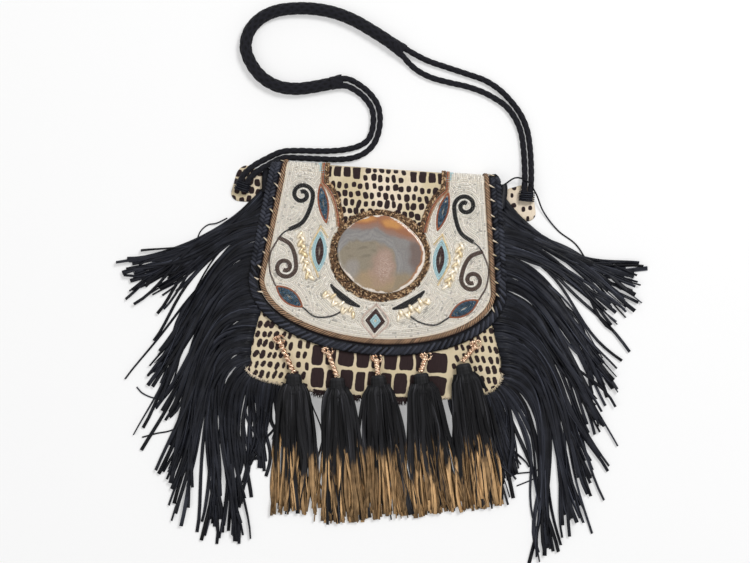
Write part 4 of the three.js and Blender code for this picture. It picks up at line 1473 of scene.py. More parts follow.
def filled_rows(outline, pitch):
    """Rows of beads inside an outline, from its edge inwards, each with its number."""
    step = 0.4
    xs = np.arange(outline[:, 0].min() - 1, outline[:, 0].max() + 1, step)
    ys = np.arange(outline[:, 1].min() - 1, outline[:, 1].max() + 1, step)
    gap = distance_inside(*np.meshgrid(xs, ys), outline)
    for number, level in enumerate(np.arange(FIRST_ROW, gap.max(), pitch)):
        yield number, *bead_rows(gap, xs, ys, level)


def add_motif_beads(piece, places, ways, tint, roll, lift=0.0):
    radius = BEAD_RADIUS * MOTIF_SIZE * roll.uniform(0.94, 1.05, len(places))
    spots = on_flap(places, ways, MOTIF_HEIGHT + lift)
    BEAD.set_out(piece, *spots, BEAD_LENGTH * MOTIF_SIZE, radius, tint=tint)


def make_scrolls(path, name, colour, slot, seed):
    """Three rows of beads along a scroll, the middle one raised."""
    roll = dice(seed)
    for side, flip in SIDES:
        piece = Piece()
        for offset, lift in ((-1.35, 0.0), (0.0, 0.7), (1.35, 0.0)):
            row = spaced(moved(path, offset), BEAD_SPACING) * [flip, 1]
            ways, _ = flat_normals(row)
            tint = tints(len(row), colour, colour * 2.0 + 0.006, roll, 0.35)
            add_motif_beads(piece, row, ways, tint, roll, lift)
        piece.settle(side + name, GLASS_BEADS, slot, "flap", side + name)


def make_filled(outline, name, palette, slot, seed, pitch=MOTIF_PITCH, lift=0.15, sides=SIDES):
    """A motif filled with rows of beads; the palette gives each row's colours from the edge inwards."""
    roll = dice(seed)
    for side, flip in sides:
        piece = Piece()
        for number, row, ways in filled_rows(outline, pitch):
            colour, light = palette[min(number, len(palette) - 1)]
            tint = tints(len(row), colour, light, roll)
            add_motif_beads(piece, row * [flip, 1], ways * [flip, 1], tint, roll, lift * number)
        piece.settle(side + name, GLASS_BEADS, slot, "flap", side + name)


def make_bugles(path, name, leans, length, seed):
    """Faceted gold beads set across a path, leaning by each of the angles in turn."""
    roll = dice(seed)
    for side, flip in SIDES:
        piece = Piece()
        row = spaced(path, 4.3)
        ways, left = flat_normals(row)
        for number, (place, way, out) in enumerate(zip(row, ways, left)):
            lean = leans[number % len(leans)] + roll.normal(0, 0.08)
            across = way * math.cos(lean) + out * math.sin(lean)
            size = length * roll.uniform(0.85, 1.1)
            centre = place + across * size * 0.3 + out * roll.normal(0, 0.2)
            tint = tints(1, GOLD, GOLD_LIGHT, roll, 0.9)
            spot = on_flap((centre * [flip, 1])[None], (across * [flip, 1])[None], MOTIF_HEIGHT + 0.3)
            BUGLE.set_out(piece, *spot, size, 2.2 * roll.uniform(0.85, 1.1), tint=tint)
        piece.settle(side + name, METAL_BEADS, "gold_beads", "flap", side + name)


def make_ornaments():
    make_scrolls(SCROLL_UPPER, "scroll_upper", BLACK_BEAD, "black_beads", seed=31)
    make_scrolls(SCROLL_LOWER, "scroll_lower", BROWN_BEAD, "brown_beads", seed=32)
    blue = [(COPPER, COPPER * 1.5), (BLUE_BEAD, BLUE_LIGHT)]
    make_filled(LEAF_UPPER, "leaf_upper", blue, "blue_beads", seed=33)
    make_filled(LEAF_LOWER, "leaf_lower", blue, "blue_beads", seed=34)
    rimmed = [PALE, PALE, (DARK_BEAD, DARK_BEAD * 1.7)]
    make_filled(ALMOND, "almond", rimmed, "turquoise_beads", seed=35)
    make_filled(CRESCENT, "crescent", [(BLACK_BEAD, BLACK_BEAD * 3)], "black_beads", seed=36, pitch=1.0)
    make_bugles(SPRAY, "spray", leans=(0.6, -0.6), length=9.6, seed=37)
    make_bugles(FAN, "fan", leans=(1.2, 1.9, -1.5), length=9.0, seed=38)
    dark = (DARK_BEAD, DARK_BEAD * 1.6)
    nested = [dark, dark, PALE, PALE, (GOLD, GOLD_LIGHT)]
    middle = (("", 1),)
    make_filled(LOZENGE, "lozenge", nested, "turquoise_beads", seed=61, lift=0.0, sides=middle)


make_field()
make_ornaments()


# Corded edges, lacing and stone


def banded(count, roll):
    """Tints of bronze stitches, by turns dark and bright: painted shade of the grooves between stitches and bronze
    with painted highlight.
    """
    share = np.clip(0.1 + 0.8 * (np.arange(count) % 2) + roll.normal(0, 0.15, count), 0, 1)[:, None]
    return BRONZE_GROOVE_SHADE * (1 - share) + BRONZE * share


def speckled(count, roll):
    """Tints of a mix of dark and bright metal beads."""
    return np.stack([SPECK_DARK, SPECK, SPECK_LIGHT])[roll.choice(3, count, p=(0.27, 0.51, 0.22))]


def add_stitches(piece, path, offset, roll, tint_of, spacing, lean, length, radius, height, arch):
    """Slanted stitches side by side along a path."""
    row = spaced(moved(path, offset), spacing)
    ways, _ = flat_normals(row)
    count = len(row)
    size = radius * roll.uniform(0.9, 1.1, count)
    spots = on_flap(row, turned(ways, lean), height)
    long = length * roll.uniform(0.95, 1.05, count)
    STITCH.set_out(piece, *spots, long, size, arch=arch, tint=tint_of(count, roll))


def make_edge_cord():
    """A bound edge of slanted stitches, each as long as the edge is wide."""
    roll = dice(41)
    piece = Piece()
    path = spaced(flap_edge(CORD_REACH), 2.0)
    add_stitches(piece, path, -EDGE_CORD_WIDTH / 2, roll, banded, spacing=1.6, lean=0.7, length=8.6,
                 radius=0.9, height=FLAP_TOP + 2.2, arch=1.2)
    piece.settle("edge_cord", THREAD, "bronze_cord", FOLD, "edge_cord")


def make_window_cords():
    """Two rows of short stitches that lean opposite ways, like a plait."""
    roll = dice(42)
    for side, flip in SIDES:
        piece = Piece()
        path = spaced(window_edge(CORD_REACH) * [flip, 1], 1.5)
        for place, lean in ((0.28, 0.75), (0.78, -0.75)):
            offset = -flip * WINDOW_CORD_WIDTH * place
            add_stitches(piece, path, offset, roll, speckled, spacing=1.3, lean=lean, length=3.6,
                         radius=0.72, height=FLAP_TOP + 2.0, arch=0.4)
        piece.settle(f"{side}window_cord", THREAD, "bronze_cord", FOLD, f"{side}window_cord")


LACING_FLOOR = FRONT_FACE + CLEARANCE
LACING_MIDDLE = (LACING_FLOOR + 2.0) / 2


def add_wraps(piece, path, places, offset, lean, length, radius, tone):
    """Laces laid aslant over the edge, at given places along it."""
    row = points_along(path, places)
    ways, left = flat_normals(row)
    row = row + left * offset
    centres, way, up = on_flap(row, turned(ways, lean), LACING_MIDDLE + 0.9)
    LACE_WRAP.set_out(piece, centres, way, up, length, radius, flat=1.05, arch=1.7, tone=tone)


def make_lacing():
    """Black leather lace wound round the flap's edge: plaited on the sides, in pairs round the end."""
    roll = dice(43)
    piece = Piece()
    path = spaced(flap_edge(FOLD_REACH), 2.0)
    middle = CLEARANCE + LACING_WIDTH / 2
    core = moved(path, middle - 0.7)
    core_section = circle(1.0, 10) * [6.2, 1.2]
    core_path = flap_point(core[:, 0], core[:, 1], LACING_MIDDLE - 0.3)
    piece.add(*sweep(core_path, core_section, up=(0.0, 0.02, 1.0)), tone=0.0)
    straight = path[:, 1] > -FLAP_STRAIGHT + 12
    breaks = np.nonzero(np.diff(straight.astype(int)))[0]
    sides = [path[: breaks[0] + 1], path[breaks[1] + 1 :]]
    plait_pitch, lobe_pitch, pair_gap = 4.4, 6.5, 1.45
    for part in sides:
        places = np.arange(0, lengths_along(part)[-1], plait_pitch)
        for offset, lean, shift in ((2.7, 0.85, 0.0), (-2.7, -0.85, plait_pitch / 2)):
            tone = roll.uniform(0.05, 0.6, len(places))
            across = middle + offset
            add_wraps(piece, part, places + shift, across, lean, length=8.8, radius=1.75, tone=tone)
    end = path[breaks[0] : breaks[1] + 2]
    places = np.arange(0, lengths_along(end)[-1], lobe_pitch)
    # round the end the first lace of each pair is painted lighter: a painted highlight along each lobe
    for shift, tone in ((-pair_gap, 0.45), (pair_gap, 0.1)):
        tones = tone + roll.uniform(-0.15, 0.2, len(places))
        tones = np.maximum(tones, 0)
        add_wraps(piece, end, places + shift, middle, lean=0.72, length=14.2, radius=1.6, tone=tones)
    piece.settle("flap_lacing", FRINGE_LEATHER, "black_leather", FOLD, "flap_lacing")


def make_notches():
    """Little tongues of hide that show between the corded edge and the lacing."""
    roll = dice(44)
    piece = Piece()
    path = spaced(flap_edge(12.0), 2.0)
    row = spaced(moved(path, 0.9), 15.0)
    ways, _ = flat_normals(row)
    on_side = np.abs(ways[:, 1]) > 0.8
    count = on_side.sum()
    ways = turned(ways[on_side], 1.0)
    row = row[on_side] + roll.normal(0, 1.2, (count, 2))
    length = roll.uniform(5.0, 9.0, count)
    spots = on_flap(row, ways, FLAP_TOP + 1.5)
    HAIR.set_out(piece, *spots, length, radius=1.35, flat=0.7, print=np.zeros(count))
    piece.settle("hide_notches", HIDE, "hide", FOLD)


def make_bezel():
    """Rows of bronze beads that climb up round the stone."""
    roll = dice(45)
    rows, nearest, pitch = 12, 0.7, 1.3
    bead_length, bead_radius, bead_lean = 2.3, 0.68, 0.7
    step = 0.5
    xs = np.arange(-BEZEL_HALF_WIDTH - 2, BEZEL_HALF_WIDTH + 2, step)
    ys = np.arange(STONE_Y - BEZEL_HALF_LENGTH - 2, STONE_Y + BEZEL_HALF_LENGTH + 2, step)
    x, y = np.meshgrid(xs, ys)
    from_stone = -distance_inside(x, y, stone_edge(90))
    in_ring = distance_inside(x, y, ellipse(BEZEL_HALF_WIDTH, BEZEL_HALF_LENGTH, 0, 2 * np.pi, 90)[:-1])
    piece = Piece()
    for number in range(rows):
        level = nearest + pitch * number
        places, ways = bead_rows(from_stone, xs, ys, level)
        column = np.clip(((places[:, 0] - xs[0]) / step).round().astype(int), 0, len(xs) - 1)
        line = np.clip(((places[:, 1] - ys[0]) / step).round().astype(int), 0, len(ys) - 1)
        kept = in_ring[line, column] > 0.5
        places = places[kept]
        ways = turned(ways[kept], bead_lean if number % 2 else -bead_lean)
        height = FLAP_TOP + 1.1 + 3.2 * math.exp(-level / 2.2)
        tint = speckled(len(places), roll)
        size = bead_radius * roll.uniform(0.9, 1.1, len(places))
        for depth in (0.0, 1.9) if number < 2 else (0.0,):
            BUGLE.set_out(piece, *on_flap(places, ways, height - depth), bead_length, size, tint=tint)
    piece.settle("stone_bezel", THREAD, "bead_ring", "flap", "stone_bezel")


# Places on the stone, from -1 to 1 each way: lower edge of the amber and upper edge of the heart
AMBER_EDGE = np.array([
    (-1, 0.5), (-0.8, 0.62), (-0.4, 0.6), (-0.1, 0.72), (0.1, 0.53), (0.4, 0.46), (1, 0.34),
])
HEART_EDGE = np.array([
    (-1, -0.1), (-0.8, 0.22), (-0.55, 0.34), (-0.2, 0.37), (0, 0.26), (0.27, 0.2), (0.4, -0.1),
])


def agate_tint(across, up, rim, glow, grains):
    """Colours of the slice: a beige and pink heart, a grey band round it and amber at the top."""
    wave = 0.03 * np.sin(9 * across + 4 * up) + 0.02 * np.sin(17 * up - 7 * across + 2)
    wave += 0.012 * np.sin(31 * across + 13 * up + 1)
    shade = np.broadcast_to(rgb(140, 136, 133), (*across.shape, 3)).copy()

    def blend_in(colour, share):
        shade[:] = shade + (colour - shade) * np.clip(share, 0, 1)[..., None]

    def spot(centre_x, centre_y, half_x, half_y):
        away = np.hypot((across - centre_x) / half_x, (up - centre_y) / half_y)
        return smooth(1.6 - 1.1 * away + 4 * wave)

    heart = np.minimum(np.interp(across, *HEART_EDGE.T) - up, 1.3 * (0.37 - across)) + wave
    amber = up - np.interp(across, *AMBER_EDGE.T) + 0.5 * wave
    blend_in(rgb(152, 149, 146), smooth(1.2 - np.abs(heart + 0.12) * 9) * 0.8)
    lines = np.sin(60 * heart + 5 * np.sin(5 * across + 3 * up)) * smooth(1.5 - np.abs(heart + 0.14) * 5)
    blend_in(rgb(116, 114, 116), smooth(lines) * 0.4)
    blend_in(rgb(108, 84, 74), spot(0.9, 0.04, 0.24, 0.52) * 0.9)
    blend_in(rgb(152, 134, 104), spot(0.62, -0.72, 0.34, 0.32))
    inside = smooth(heart * 9 + 0.5)
    blend_in(rgb(146, 134, 112), inside)
    streaks = np.sin(34 * up + 6 * across + 2.2 * np.sin(7 * across + 3 * up))
    streaks += 0.6 * np.sin(19 * across - 23 * up)
    blend_in(rgb(112, 102, 82), inside * smooth(streaks - 0.4) * spot(-0.4, 0.1, 0.42, 0.3) * 0.55)
    blend_in(rgb(176, 147, 106), inside * spot(-0.05, -0.8, 0.55, 0.36) * 0.8)
    blend_in(rgb(160, 154, 150), inside * spot(-0.62, -0.4, 0.16, 0.24) * 0.7)
    blend_in(rgb(176, 142, 124), inside * spot(0.08, -0.3, 0.26, 0.46) * 0.85)
    blend_in(rgb(226, 202, 190), inside * spot(0.1, -0.3, 0.16, 0.34) * smooth(grains - 0.2) * 0.7)
    blend_in(rgb(152, 112, 92), smooth(amber * 9 + 0.4))
    blend_in(rgb(164, 96, 42), smooth((amber - 0.07) * 9) * 0.9)
    bright = spot(-0.36, 0.78, 0.24, 0.18) + spot(0.2, 0.8, 0.26, 0.16)
    blend_in(rgb(212, 146, 62), smooth((amber - 0.14) * 8) * bright)
    blend_in(rgb(150, 116, 74), smooth((-up - 0.84) * 9) * 0.7)
    blend_in(rgb(178, 112, 52), glow * 0.8)
    shade *= np.array([0.81, 0.8, 0.79])
    blend_in(rgb(236, 224, 210), smooth(rim * 1.4))
    return shade


def make_stone():
    """The agate slice: a flat polished face with a chipped pale rim."""
    around, rings = 224, 72
    outline = stone_edge(around)
    angle = ring_angles(around)
    roll = dice(46)
    uneven = np.tile(roll.normal(0, 1, around), 3)
    chips = np.convolve(uneven, np.ones(5) / 5, "same")[around : 2 * around]
    pale = 1.8 + 1.2 * np.cos(angle + 0.5) + 0.6 * np.cos(3 * angle + 0.6) + 1.5 * chips
    centre = np.array([0, STONE_Y])
    share = np.linspace(0, 1, rings)[:, None] ** 0.8
    flat = centre + share[..., None] * (outline - centre)[None]
    to_edge = (1 - share) * np.linalg.norm(outline - centre, axis=1)[None]
    rim = smooth((pale[None] - to_edge) / 1.1)
    glow = smooth((pale[None] + 2.6 - to_edge) / 2.0) * smooth(1.6 * np.cos(angle - 0.3) - 0.2)
    top = FLAP_TOP + CLEARANCE + STONE_HEIGHT
    lower = 1.6 * np.exp(-to_edge / 1.1) + (0.25 + 0.2 * chips[None]) * rim
    height = top - lower + 0.12 * np.sin(flat[..., 0] / 8) * np.sin(flat[..., 1] / 9)
    across = flat[..., 0] / STONE_HALF_WIDTH
    up = (flat[..., 1] - STONE_Y) / STONE_HALF_LENGTH
    tint = agate_tint(across, up, rim, glow, roll.normal(0, 1, across.shape))
    under = np.stack([outline, outline * 0.98 + centre * 0.02])
    wall = slope_point(under[..., 0], under[..., 1], np.array([[top - 2.6], [FLAP_TOP + CLEARANCE]]))
    face = slope_point(flat[..., 0], flat[..., 1], height)
    corners = np.vstack([face.reshape(-1, 3), wall.reshape(-1, 3)])
    faces = [net(rings + 2, around, True), fan((rings + 1) * around + np.arange(around), True)]
    piece = Piece()
    piece.add(corners, faces, tint=np.vstack([tint.reshape(-1, 3), np.tile(tint[-1], (2, 1)) * 0.8]))
    piece.settle("stone", AGATE, "agate", "flap", "stone")


make_edge_cord()
make_window_cords()
make_lacing()
make_notches()
make_bezel()
make_stone()


# Fringes and tassels


# Locks of a fringe: where on the seam each begins and ends, how many laces it has,
# where its tip lies and half its width there
LEFT_LOCKS = [
    (0, 14, 11, (-283, 1), 8), (14, 35, 17, (-276, -24), 11), (35, 53, 14, (-248, -41), 11),
    (53, 95, 26, (-240, -127), 15), (95, 125, 18, (-226, -167), 9), (125, 151, 18, (-219, -235), 11),
    (151, 171, 15, (-205, -275), 17), (171, 195, 16, (-165, -297), 11), (193, 215, 14, (-139, -299), 7),
    (205, 226, 12, (-134, -262), 6), (215, 243, 17, (-117, -216), 9), (240, 256, 12, (-97, -192), 8),
]
RIGHT_LOCKS = [
    (0, 28, 22, (289, 26), 12), (28, 46, 17, (285, -6), 11), (46, 66, 15, (273, -26), 10),
    (66, 96, 21, (267, -99), 17), (96, 126, 21, (257, -143), 15), (126, 156, 20, (254, -207), 12),
    (156, 181, 16, (238, -258), 13), (181, 217, 26, (210, -289), 11), (212, 240, 26, (166, -205), 9),
    (236, 269, 25, (127, -194), 10),
]
# Single laces: where on the seam each begins, and its tip
LEFT_STRAYS = [
    (48, (-249, -79)), (52, (-250, -101)), (78, (-263, -138)), (110, (-255, -177)), (114, (-254, -194)),
    (119, (-244, -210)), (168, (-186, -292)),
]
RIGHT_STRAYS = [
    (56, (287, -56)), (61, (276, -71)), (112, (272, -171)), (146, (268, -226)), (170, (250, -268)),
    (224, (158, -212)),
]
# Loose laces that lie across the others, each by points on its way
LEFT_LOOSE = [
    [(-172, 58, 5), (-184, 51.5, 3), (-193.5, 49, 1.5), (-201, 41.5, 1.2), (-205, 30, 1.2),
     (-212, 18, 2.5)],
    [(-260, -136.5, 1.2), (-253, -143, 1.2), (-238, -147.5, 1.2), (-228, -144, 1.2), (-219, -134, 1.5)],
    [(-250, -192, 1.2), (-234, -186.5, 1.2), (-220.5, -183, 1.2), (-211, -177.5, 1.2), (-204, -168, 1.5)],
]
RIGHT_LOOSE = [
    [(132.3, 116.5, 5.4), (145, 125, 10.5), (158, 121, 12.8), (168, 109, 9), (178, 90, 3.5), (196, 70, 1),
     (217, 56, 1), (232, 36, 1.5)],
    [(201, -186, 3), (191, -198, 2.5), (173, -202.5, 1.5), (153, -206, 1.2)],
    [(198, -202, 3), (186, -209, 2), (170, -217, 1.2)],
]
FRINGE_REACH = 84.0  # how near the middle the laces under the front panel come
STRAND_FALL = 70.0  # length over which a lace drops from the seam to the floor
UNDER_TASSELS = 205.0  # place on the seam from which the laces lie low, under the end tassels
DROOP_LENGTH = 46.0  # of the seam, from its top: laces there hang down first and then run out flat


class Seam:
    """Where a fringe is sewn on: from under the lacing, down the side and round the lower corner.

    On the side the laces are sewn on top of the front panel, further in near the flap.
    """

    def __init__(self, side, top_y, insets, corner_y):
        edge = front_edge()
        half = edge[: len(edge) // 2 + 1]
        half = half[half[:, 0] > FRINGE_REACH]
        self.path = spaced(np.vstack([[[side_x(-MOUTH_INSET) + 0.6, top_y]], half]), 1.0)
        self.out = flat_normals(self.path)[1]
        self.side = side
        self.insets = insets
        self.corner_y = corner_y

    def root(self, place):
        """Root of a lace, and the direction in which it leaves, in the row frame."""
        along = lengths_along(self.path)
        x, y, out_x, out_y = (np.interp(place, along, part) for part in (*self.path.T, *self.out.T))
        above_mouth = smooth((y + MOUTH_INSET + 4) / 8)
        round_corner = smooth((self.corner_y - y) / 10)
        inset = np.interp(y, [SIDE_END + 8, -FLAP_STRAIGHT - 30], self.insets)
        inset = (inset * (1 - round_corner) - 0.6 * round_corner) * (1 - above_mouth) - 2.0 * above_mouth
        on_top = FRONT_FACE + 0.8
        depth = on_top - 11.0 * above_mouth - 4.5 * round_corner
        root = slope_point(self.side * (x - out_x * inset), y - out_y * inset, depth)
        return root, np.array([self.side * out_x, out_y])


def over_tab(path):
    """Laces that cross a strap tab lie on top of it."""
    inner = side_x(4 - TAB_LENGTH) + SPLAY + RIM - 2
    across = np.abs(path[:, 0]) - inner
    top = HINGE_Y + 6
    in_width = (across > 0) & (across < TAB_WIDTH + 6)
    in_length = (path[:, 1] < top) & (path[:, 1] > top - TAB_LENGTH - 6)
    return np.where(in_width & in_length, np.maximum(path[:, 2], TAB_THICKNESS + 1.2), path[:, 2])


def lace(seam, place, tip, core, roll, reach, sway, rest):
    """The path of one lace: out of the seam, over in a curve and down to the floor.

    On its way it is drawn towards the core of its lock.
    """
    root, out = seam.root(place)
    start, tip = root[:2], np.asarray(tip, float)
    chord = np.linalg.norm(tip - start)
    way = (tip - start) / chord
    droop = smooth(1 - place / DROOP_LENGTH)
    leave = unit(out + np.array([0, -1.25]) * droop)
    first = start + leave * chord * 0.34 * roll.uniform(0.75, 1.2)
    drawn = tip + 0.6 * (core - tip)
    last = drawn - unit(way + np.array([0, 0.65 * droop - 0.25])) * chord * 0.36
    t = np.linspace(0, reach, 19)[:, None]
    plan = (1 - t) ** 3 * start + 3 * t * (1 - t) ** 2 * first + 3 * t**2 * (1 - t) * last + t**3 * tip
    across = np.array([-way[1], way[0]])
    waves = np.sin(2 * np.pi * (roll.uniform(0.6, 1.5) * t + roll.uniform(0, 1))) * t
    curl = roll.normal(0, 6.0) * smooth((t - 0.55) / 0.45) ** 2
    plan = plan + across * (waves * sway + curl)
    along = lengths_along(plan)
    hump = roll.uniform(0.3, 3.0) * np.exp(-(((along - 13) / 13) ** 2))
    ripple = roll.uniform(0, 1.0) * (1 + np.sin(along / 14 + roll.uniform(0, 6))) * smooth(along / 90)
    loft = 1 - 0.9 * smooth((place - UNDER_TASSELS) / 20)
    fall = STRAND_FALL * (0.5 + 0.5 * loft)
    height = root[2] + (loft * rest - root[2]) * smooth(along / fall) + loft * (hump + ripple)
    path = at_height(plan, height)
    path[:, 2] = over_tab(path)
    return path


LACE_EDGE_HIGHLIGHTS = np.array([1.2, 0.1, 0.0, 0.6, 0.0, 0.0])  # painted highlight on the corners of a lace's section


def lace_tone(stations, roll):
    """Tone of a lace at each corner: dark, with painted highlights on its edges and on passages along it."""
    t = np.linspace(0, 1, stations)[:, None]
    catch = np.clip(np.sin(t * roll.uniform(4, 12) + roll.uniform(0, 6)), 0, 1) ** 2
    bright = roll.uniform(0.7, 1.3) if roll.uniform(0, 1) < 0.45 else 0.25
    return (0.3 * roll.beta(1.1, 3.0) + bright * catch * (LACE_EDGE_HIGHLIGHTS + 0.06)).ravel()


def add_lace(piece, path, width, roll, twist, light):
    """A flat lace along a path, which stays above the floor however it is turned."""
    t = np.linspace(0, 1, len(path))
    turn = roll.normal(0, 0.35) + roll.normal(0, twist) * t**1.5
    path = path.copy()
    path[:, 2] = np.maximum(path[:, 2], 0.65 + 0.5 * width * np.abs(np.sin(turn)))
    piece.add(*sweep(path, lens(width, 1.1), roll=turn), tone=light * lace_tone(len(path), roll))


def make_fringe(name, seam, locks, strays, loose, light, seed):
    """A dense row of flat laces that leave the seam and fall to the floor in loose locks."""
    roll = dice(seed)
    piece = Piece()
    for begin, end, count, tip, spread in locks:
        tip = np.array(tip, float)
        out = np.array([-tip[1] - 60, tip[0]])
        across = out / np.linalg.norm(out) * -seam.side
        rest = roll.uniform(0.9, 2.6)
        for number in range(count):
            share = (number + roll.uniform(0, 1)) / count
            place = begin + (end - begin) * share
            aside = (2 * share - 1) * roll.uniform(0.5, 1.4) + roll.normal(0, 0.4)
            reach = 1.03 - 0.26 * roll.beta(1.1, 2.0)
            height = rest + roll.uniform(0, 3.2)
            lace_tip = tip + across * spread * aside
            path = lace(seam, place, lace_tip, tip, roll, reach, roll.normal(0, 5.2), height)
            add_lace(piece, path, roll.uniform(3.0, 5.2), roll, twist=0.8, light=light)
    for place, tip in strays:
        sway = roll.normal(0, 6.0)
        rest = roll.uniform(1.0, 2.5)
        path = lace(seam, place, tip, np.array(tip), roll, 1.0, sway, rest)
        add_lace(piece, path, roll.uniform(2.6, 4.2), roll, twist=1.2, light=light)
    for route in loose:
        add_lace(piece, through(route, 40), width=1.8, roll=roll, twist=0.4, light=light)
    header_y = np.linspace(-MOUTH_INSET - 14, SIDE_END - 4, 12)
    header = slope_point(seam.side * (side_x(header_y) + 2.3), header_y, (FRONT_FACE + FRONT_BACK) / 2)
    piece.add(*sweep(header, lens(4.2, 2.6)), tone=0.05)
    piece.settle(name, FRINGE_LEATHER, "black_leather", "bag", name)


# How much further the laces of each tassel reach than its solid
LONGER = [5.0, 10.0, 9.0, 7.0, 12.0]
FACE_LIGHT = np.array([0.1, 1.0, 1.0, 0.1, 0.5, 0.5])  # painted light on the corners of a lace's section, for the gold: brightest on its top face, less below, darkest on its edges


def twisted(path, radius, turns, plies):
    """The plies of a twisted cord."""
    along = lengths_along(path) / lengths_along(path)[-1]
    _, side, top = sides_along(path)
    for ply in range(plies):
        angle = 2 * np.pi * (turns * along + ply / plies)
        yield path + radius * (side * np.cos(angle)[:, None] + top * np.sin(angle)[:, None])


def hang_frame(number):
    """Where a tassel is sewn on, where its head starts, and its swing."""
    lower, aside, loop = HANGS[number - 1]
    place = number - (len(HANGS) + 1) / 2
    anchor_x = TASSEL_MIDDLE + place * TASSEL_PITCH
    anchor_y = lacing_edge_y(anchor_x) - TASSEL_GAP - lower
    seat = 0.7 * LOOP_RADIUS
    anchor = slope_point(anchor_x, anchor_y, FRONT_FACE + CLEARANCE + seat)
    rise = HEAD_RADIUS * HEAD_FLAT + (loop + 0.9 * HEAD_LENGTH) * math.tan(TILT) - seat
    hang = anchor + np.array([aside, -loop, rise])
    swing = math.radians(9 + 2.2 * place)
    bend = abs(swing - math.atan2(aside, loop))
    head_top = CLEARANCE + LOOP_RADIUS * (math.sin(bend) + rise / loop / 2)
    return anchor, hang, swing, head_top


def add_twist(piece, path, radius, turns, roll):
    """A two-ply twisted metal cord along a path."""
    for strand in twisted(path, 0.5 * radius, turns, 2):
        for fibre in twisted(strand, 0.24 * radius, 3.2 * turns, 3):
            # each fibre is painted at random between shaded and highlighted rose gold: painted shade and highlight
            # between the fibres
            share = np.clip(roll.uniform(0, 1) + roll.normal(0, 0.2, len(fibre)), 0, 1)[:, None]
            tint = ROSE_GOLD_SHADED * (1 - share) + ROSE_GOLD_HIGHLIGHT * share
            piece.add(*sweep(fibre, circle(0.27 * radius, 6)), tint=np.repeat(tint, 6, axis=0))


def make_loop(number, anchor, hang):
    """A twisted rose-gold cord that hangs from two small eyes, which are sewn to the bag."""
    roll = dice(70 + number)
    piece = Piece()
    add_twist(piece, evenly(np.array([anchor, hang]), 60), radius=3.3, turns=3.0, roll=roll)
    tassel = f"tassel_{number}"
    piece.settle(f"{tassel}_loop", ROSE_METAL, "rose_gold_cord", tassel, f"{tassel}_loop")
    piece = Piece()
    angle = np.linspace(0, 1.85 * np.pi, 44) + 0.5
    for size, shift in ((4.2, 1.4), (2.9, -2.4)):
        x = size * 1.1 * np.cos(angle) + shift
        y = size * np.sin(angle) + 1.5
        eye = np.stack([x, y, 0.4 * np.sin(3 * angle)], -1)
        add_twist(piece, anchor + eye, radius=1.6, turns=4.0, roll=roll)
    piece.settle(f"{tassel}_eyes", ROSE_METAL, "rose_gold_cord", "bag")


def hung(points, hang, swing):
    """Points of a tassel, given in its own hanging frame."""
    cos, sin = math.cos(swing), math.sin(swing)
    x, y = points[..., 0], points[..., 1]
    return hang + np.stack([x * cos - y * sin, x * sin + y * cos, points[..., 2]], -1)


def make_head(number, hang, swing, head_top):
    """The gathered head: pleated suede with a lace wound round it."""
    roll = dice(80 + number)
    around, rows = 56, 22
    angle = ring_angles(around)
    down = np.linspace(0, 1, rows)[:, None]
    radius = HEAD_TOP_RADIUS + (HEAD_RADIUS - HEAD_TOP_RADIUS) * down
    pleats = 0.35 * np.sin(13 * angle + roll.uniform(0, 6) + 2 * down) + 0.2 * np.sin(22 * angle + 3)
    wraps = 0.22 * np.abs(np.sin(down * np.pi * 5 + 0.05 * angle))
    shoulder = 1 - 0.25 * np.exp(-down * 16)
    gathered = 1 - 0.3 * smooth((down - 0.5) / 0.3)
    size = (radius - 0.6) * shoulder * gathered + pleats * (0.4 + 0.6 * down) + wraps
    points = np.stack([
        size * np.cos(angle), np.broadcast_to(-head_top - HEAD_LENGTH * down, size.shape),
        size * HEAD_FLAT * np.sin(angle),
    ], -1)
    # painted highlights: the wound lace's ridges, the pleats' crests and the head's top edge are lighter
    tone = np.clip(0.03 + 0.2 * wraps + 0.08 * pleats + 0.25 * np.exp(-down * 14), 0, 1)
    faces = [group[:, ::-1] for group in closed_tube(rows, around)]
    piece = Piece()
    piece.add(hung(points, hang, swing), faces, tone=tone.ravel(), gold=0.0, shine=0.0)
    tassel = f"tassel_{number}"
    piece.settle(f"{tassel}_head", TASSEL_LEATHER, "tassel_leather", tassel, f"{tassel}_head")


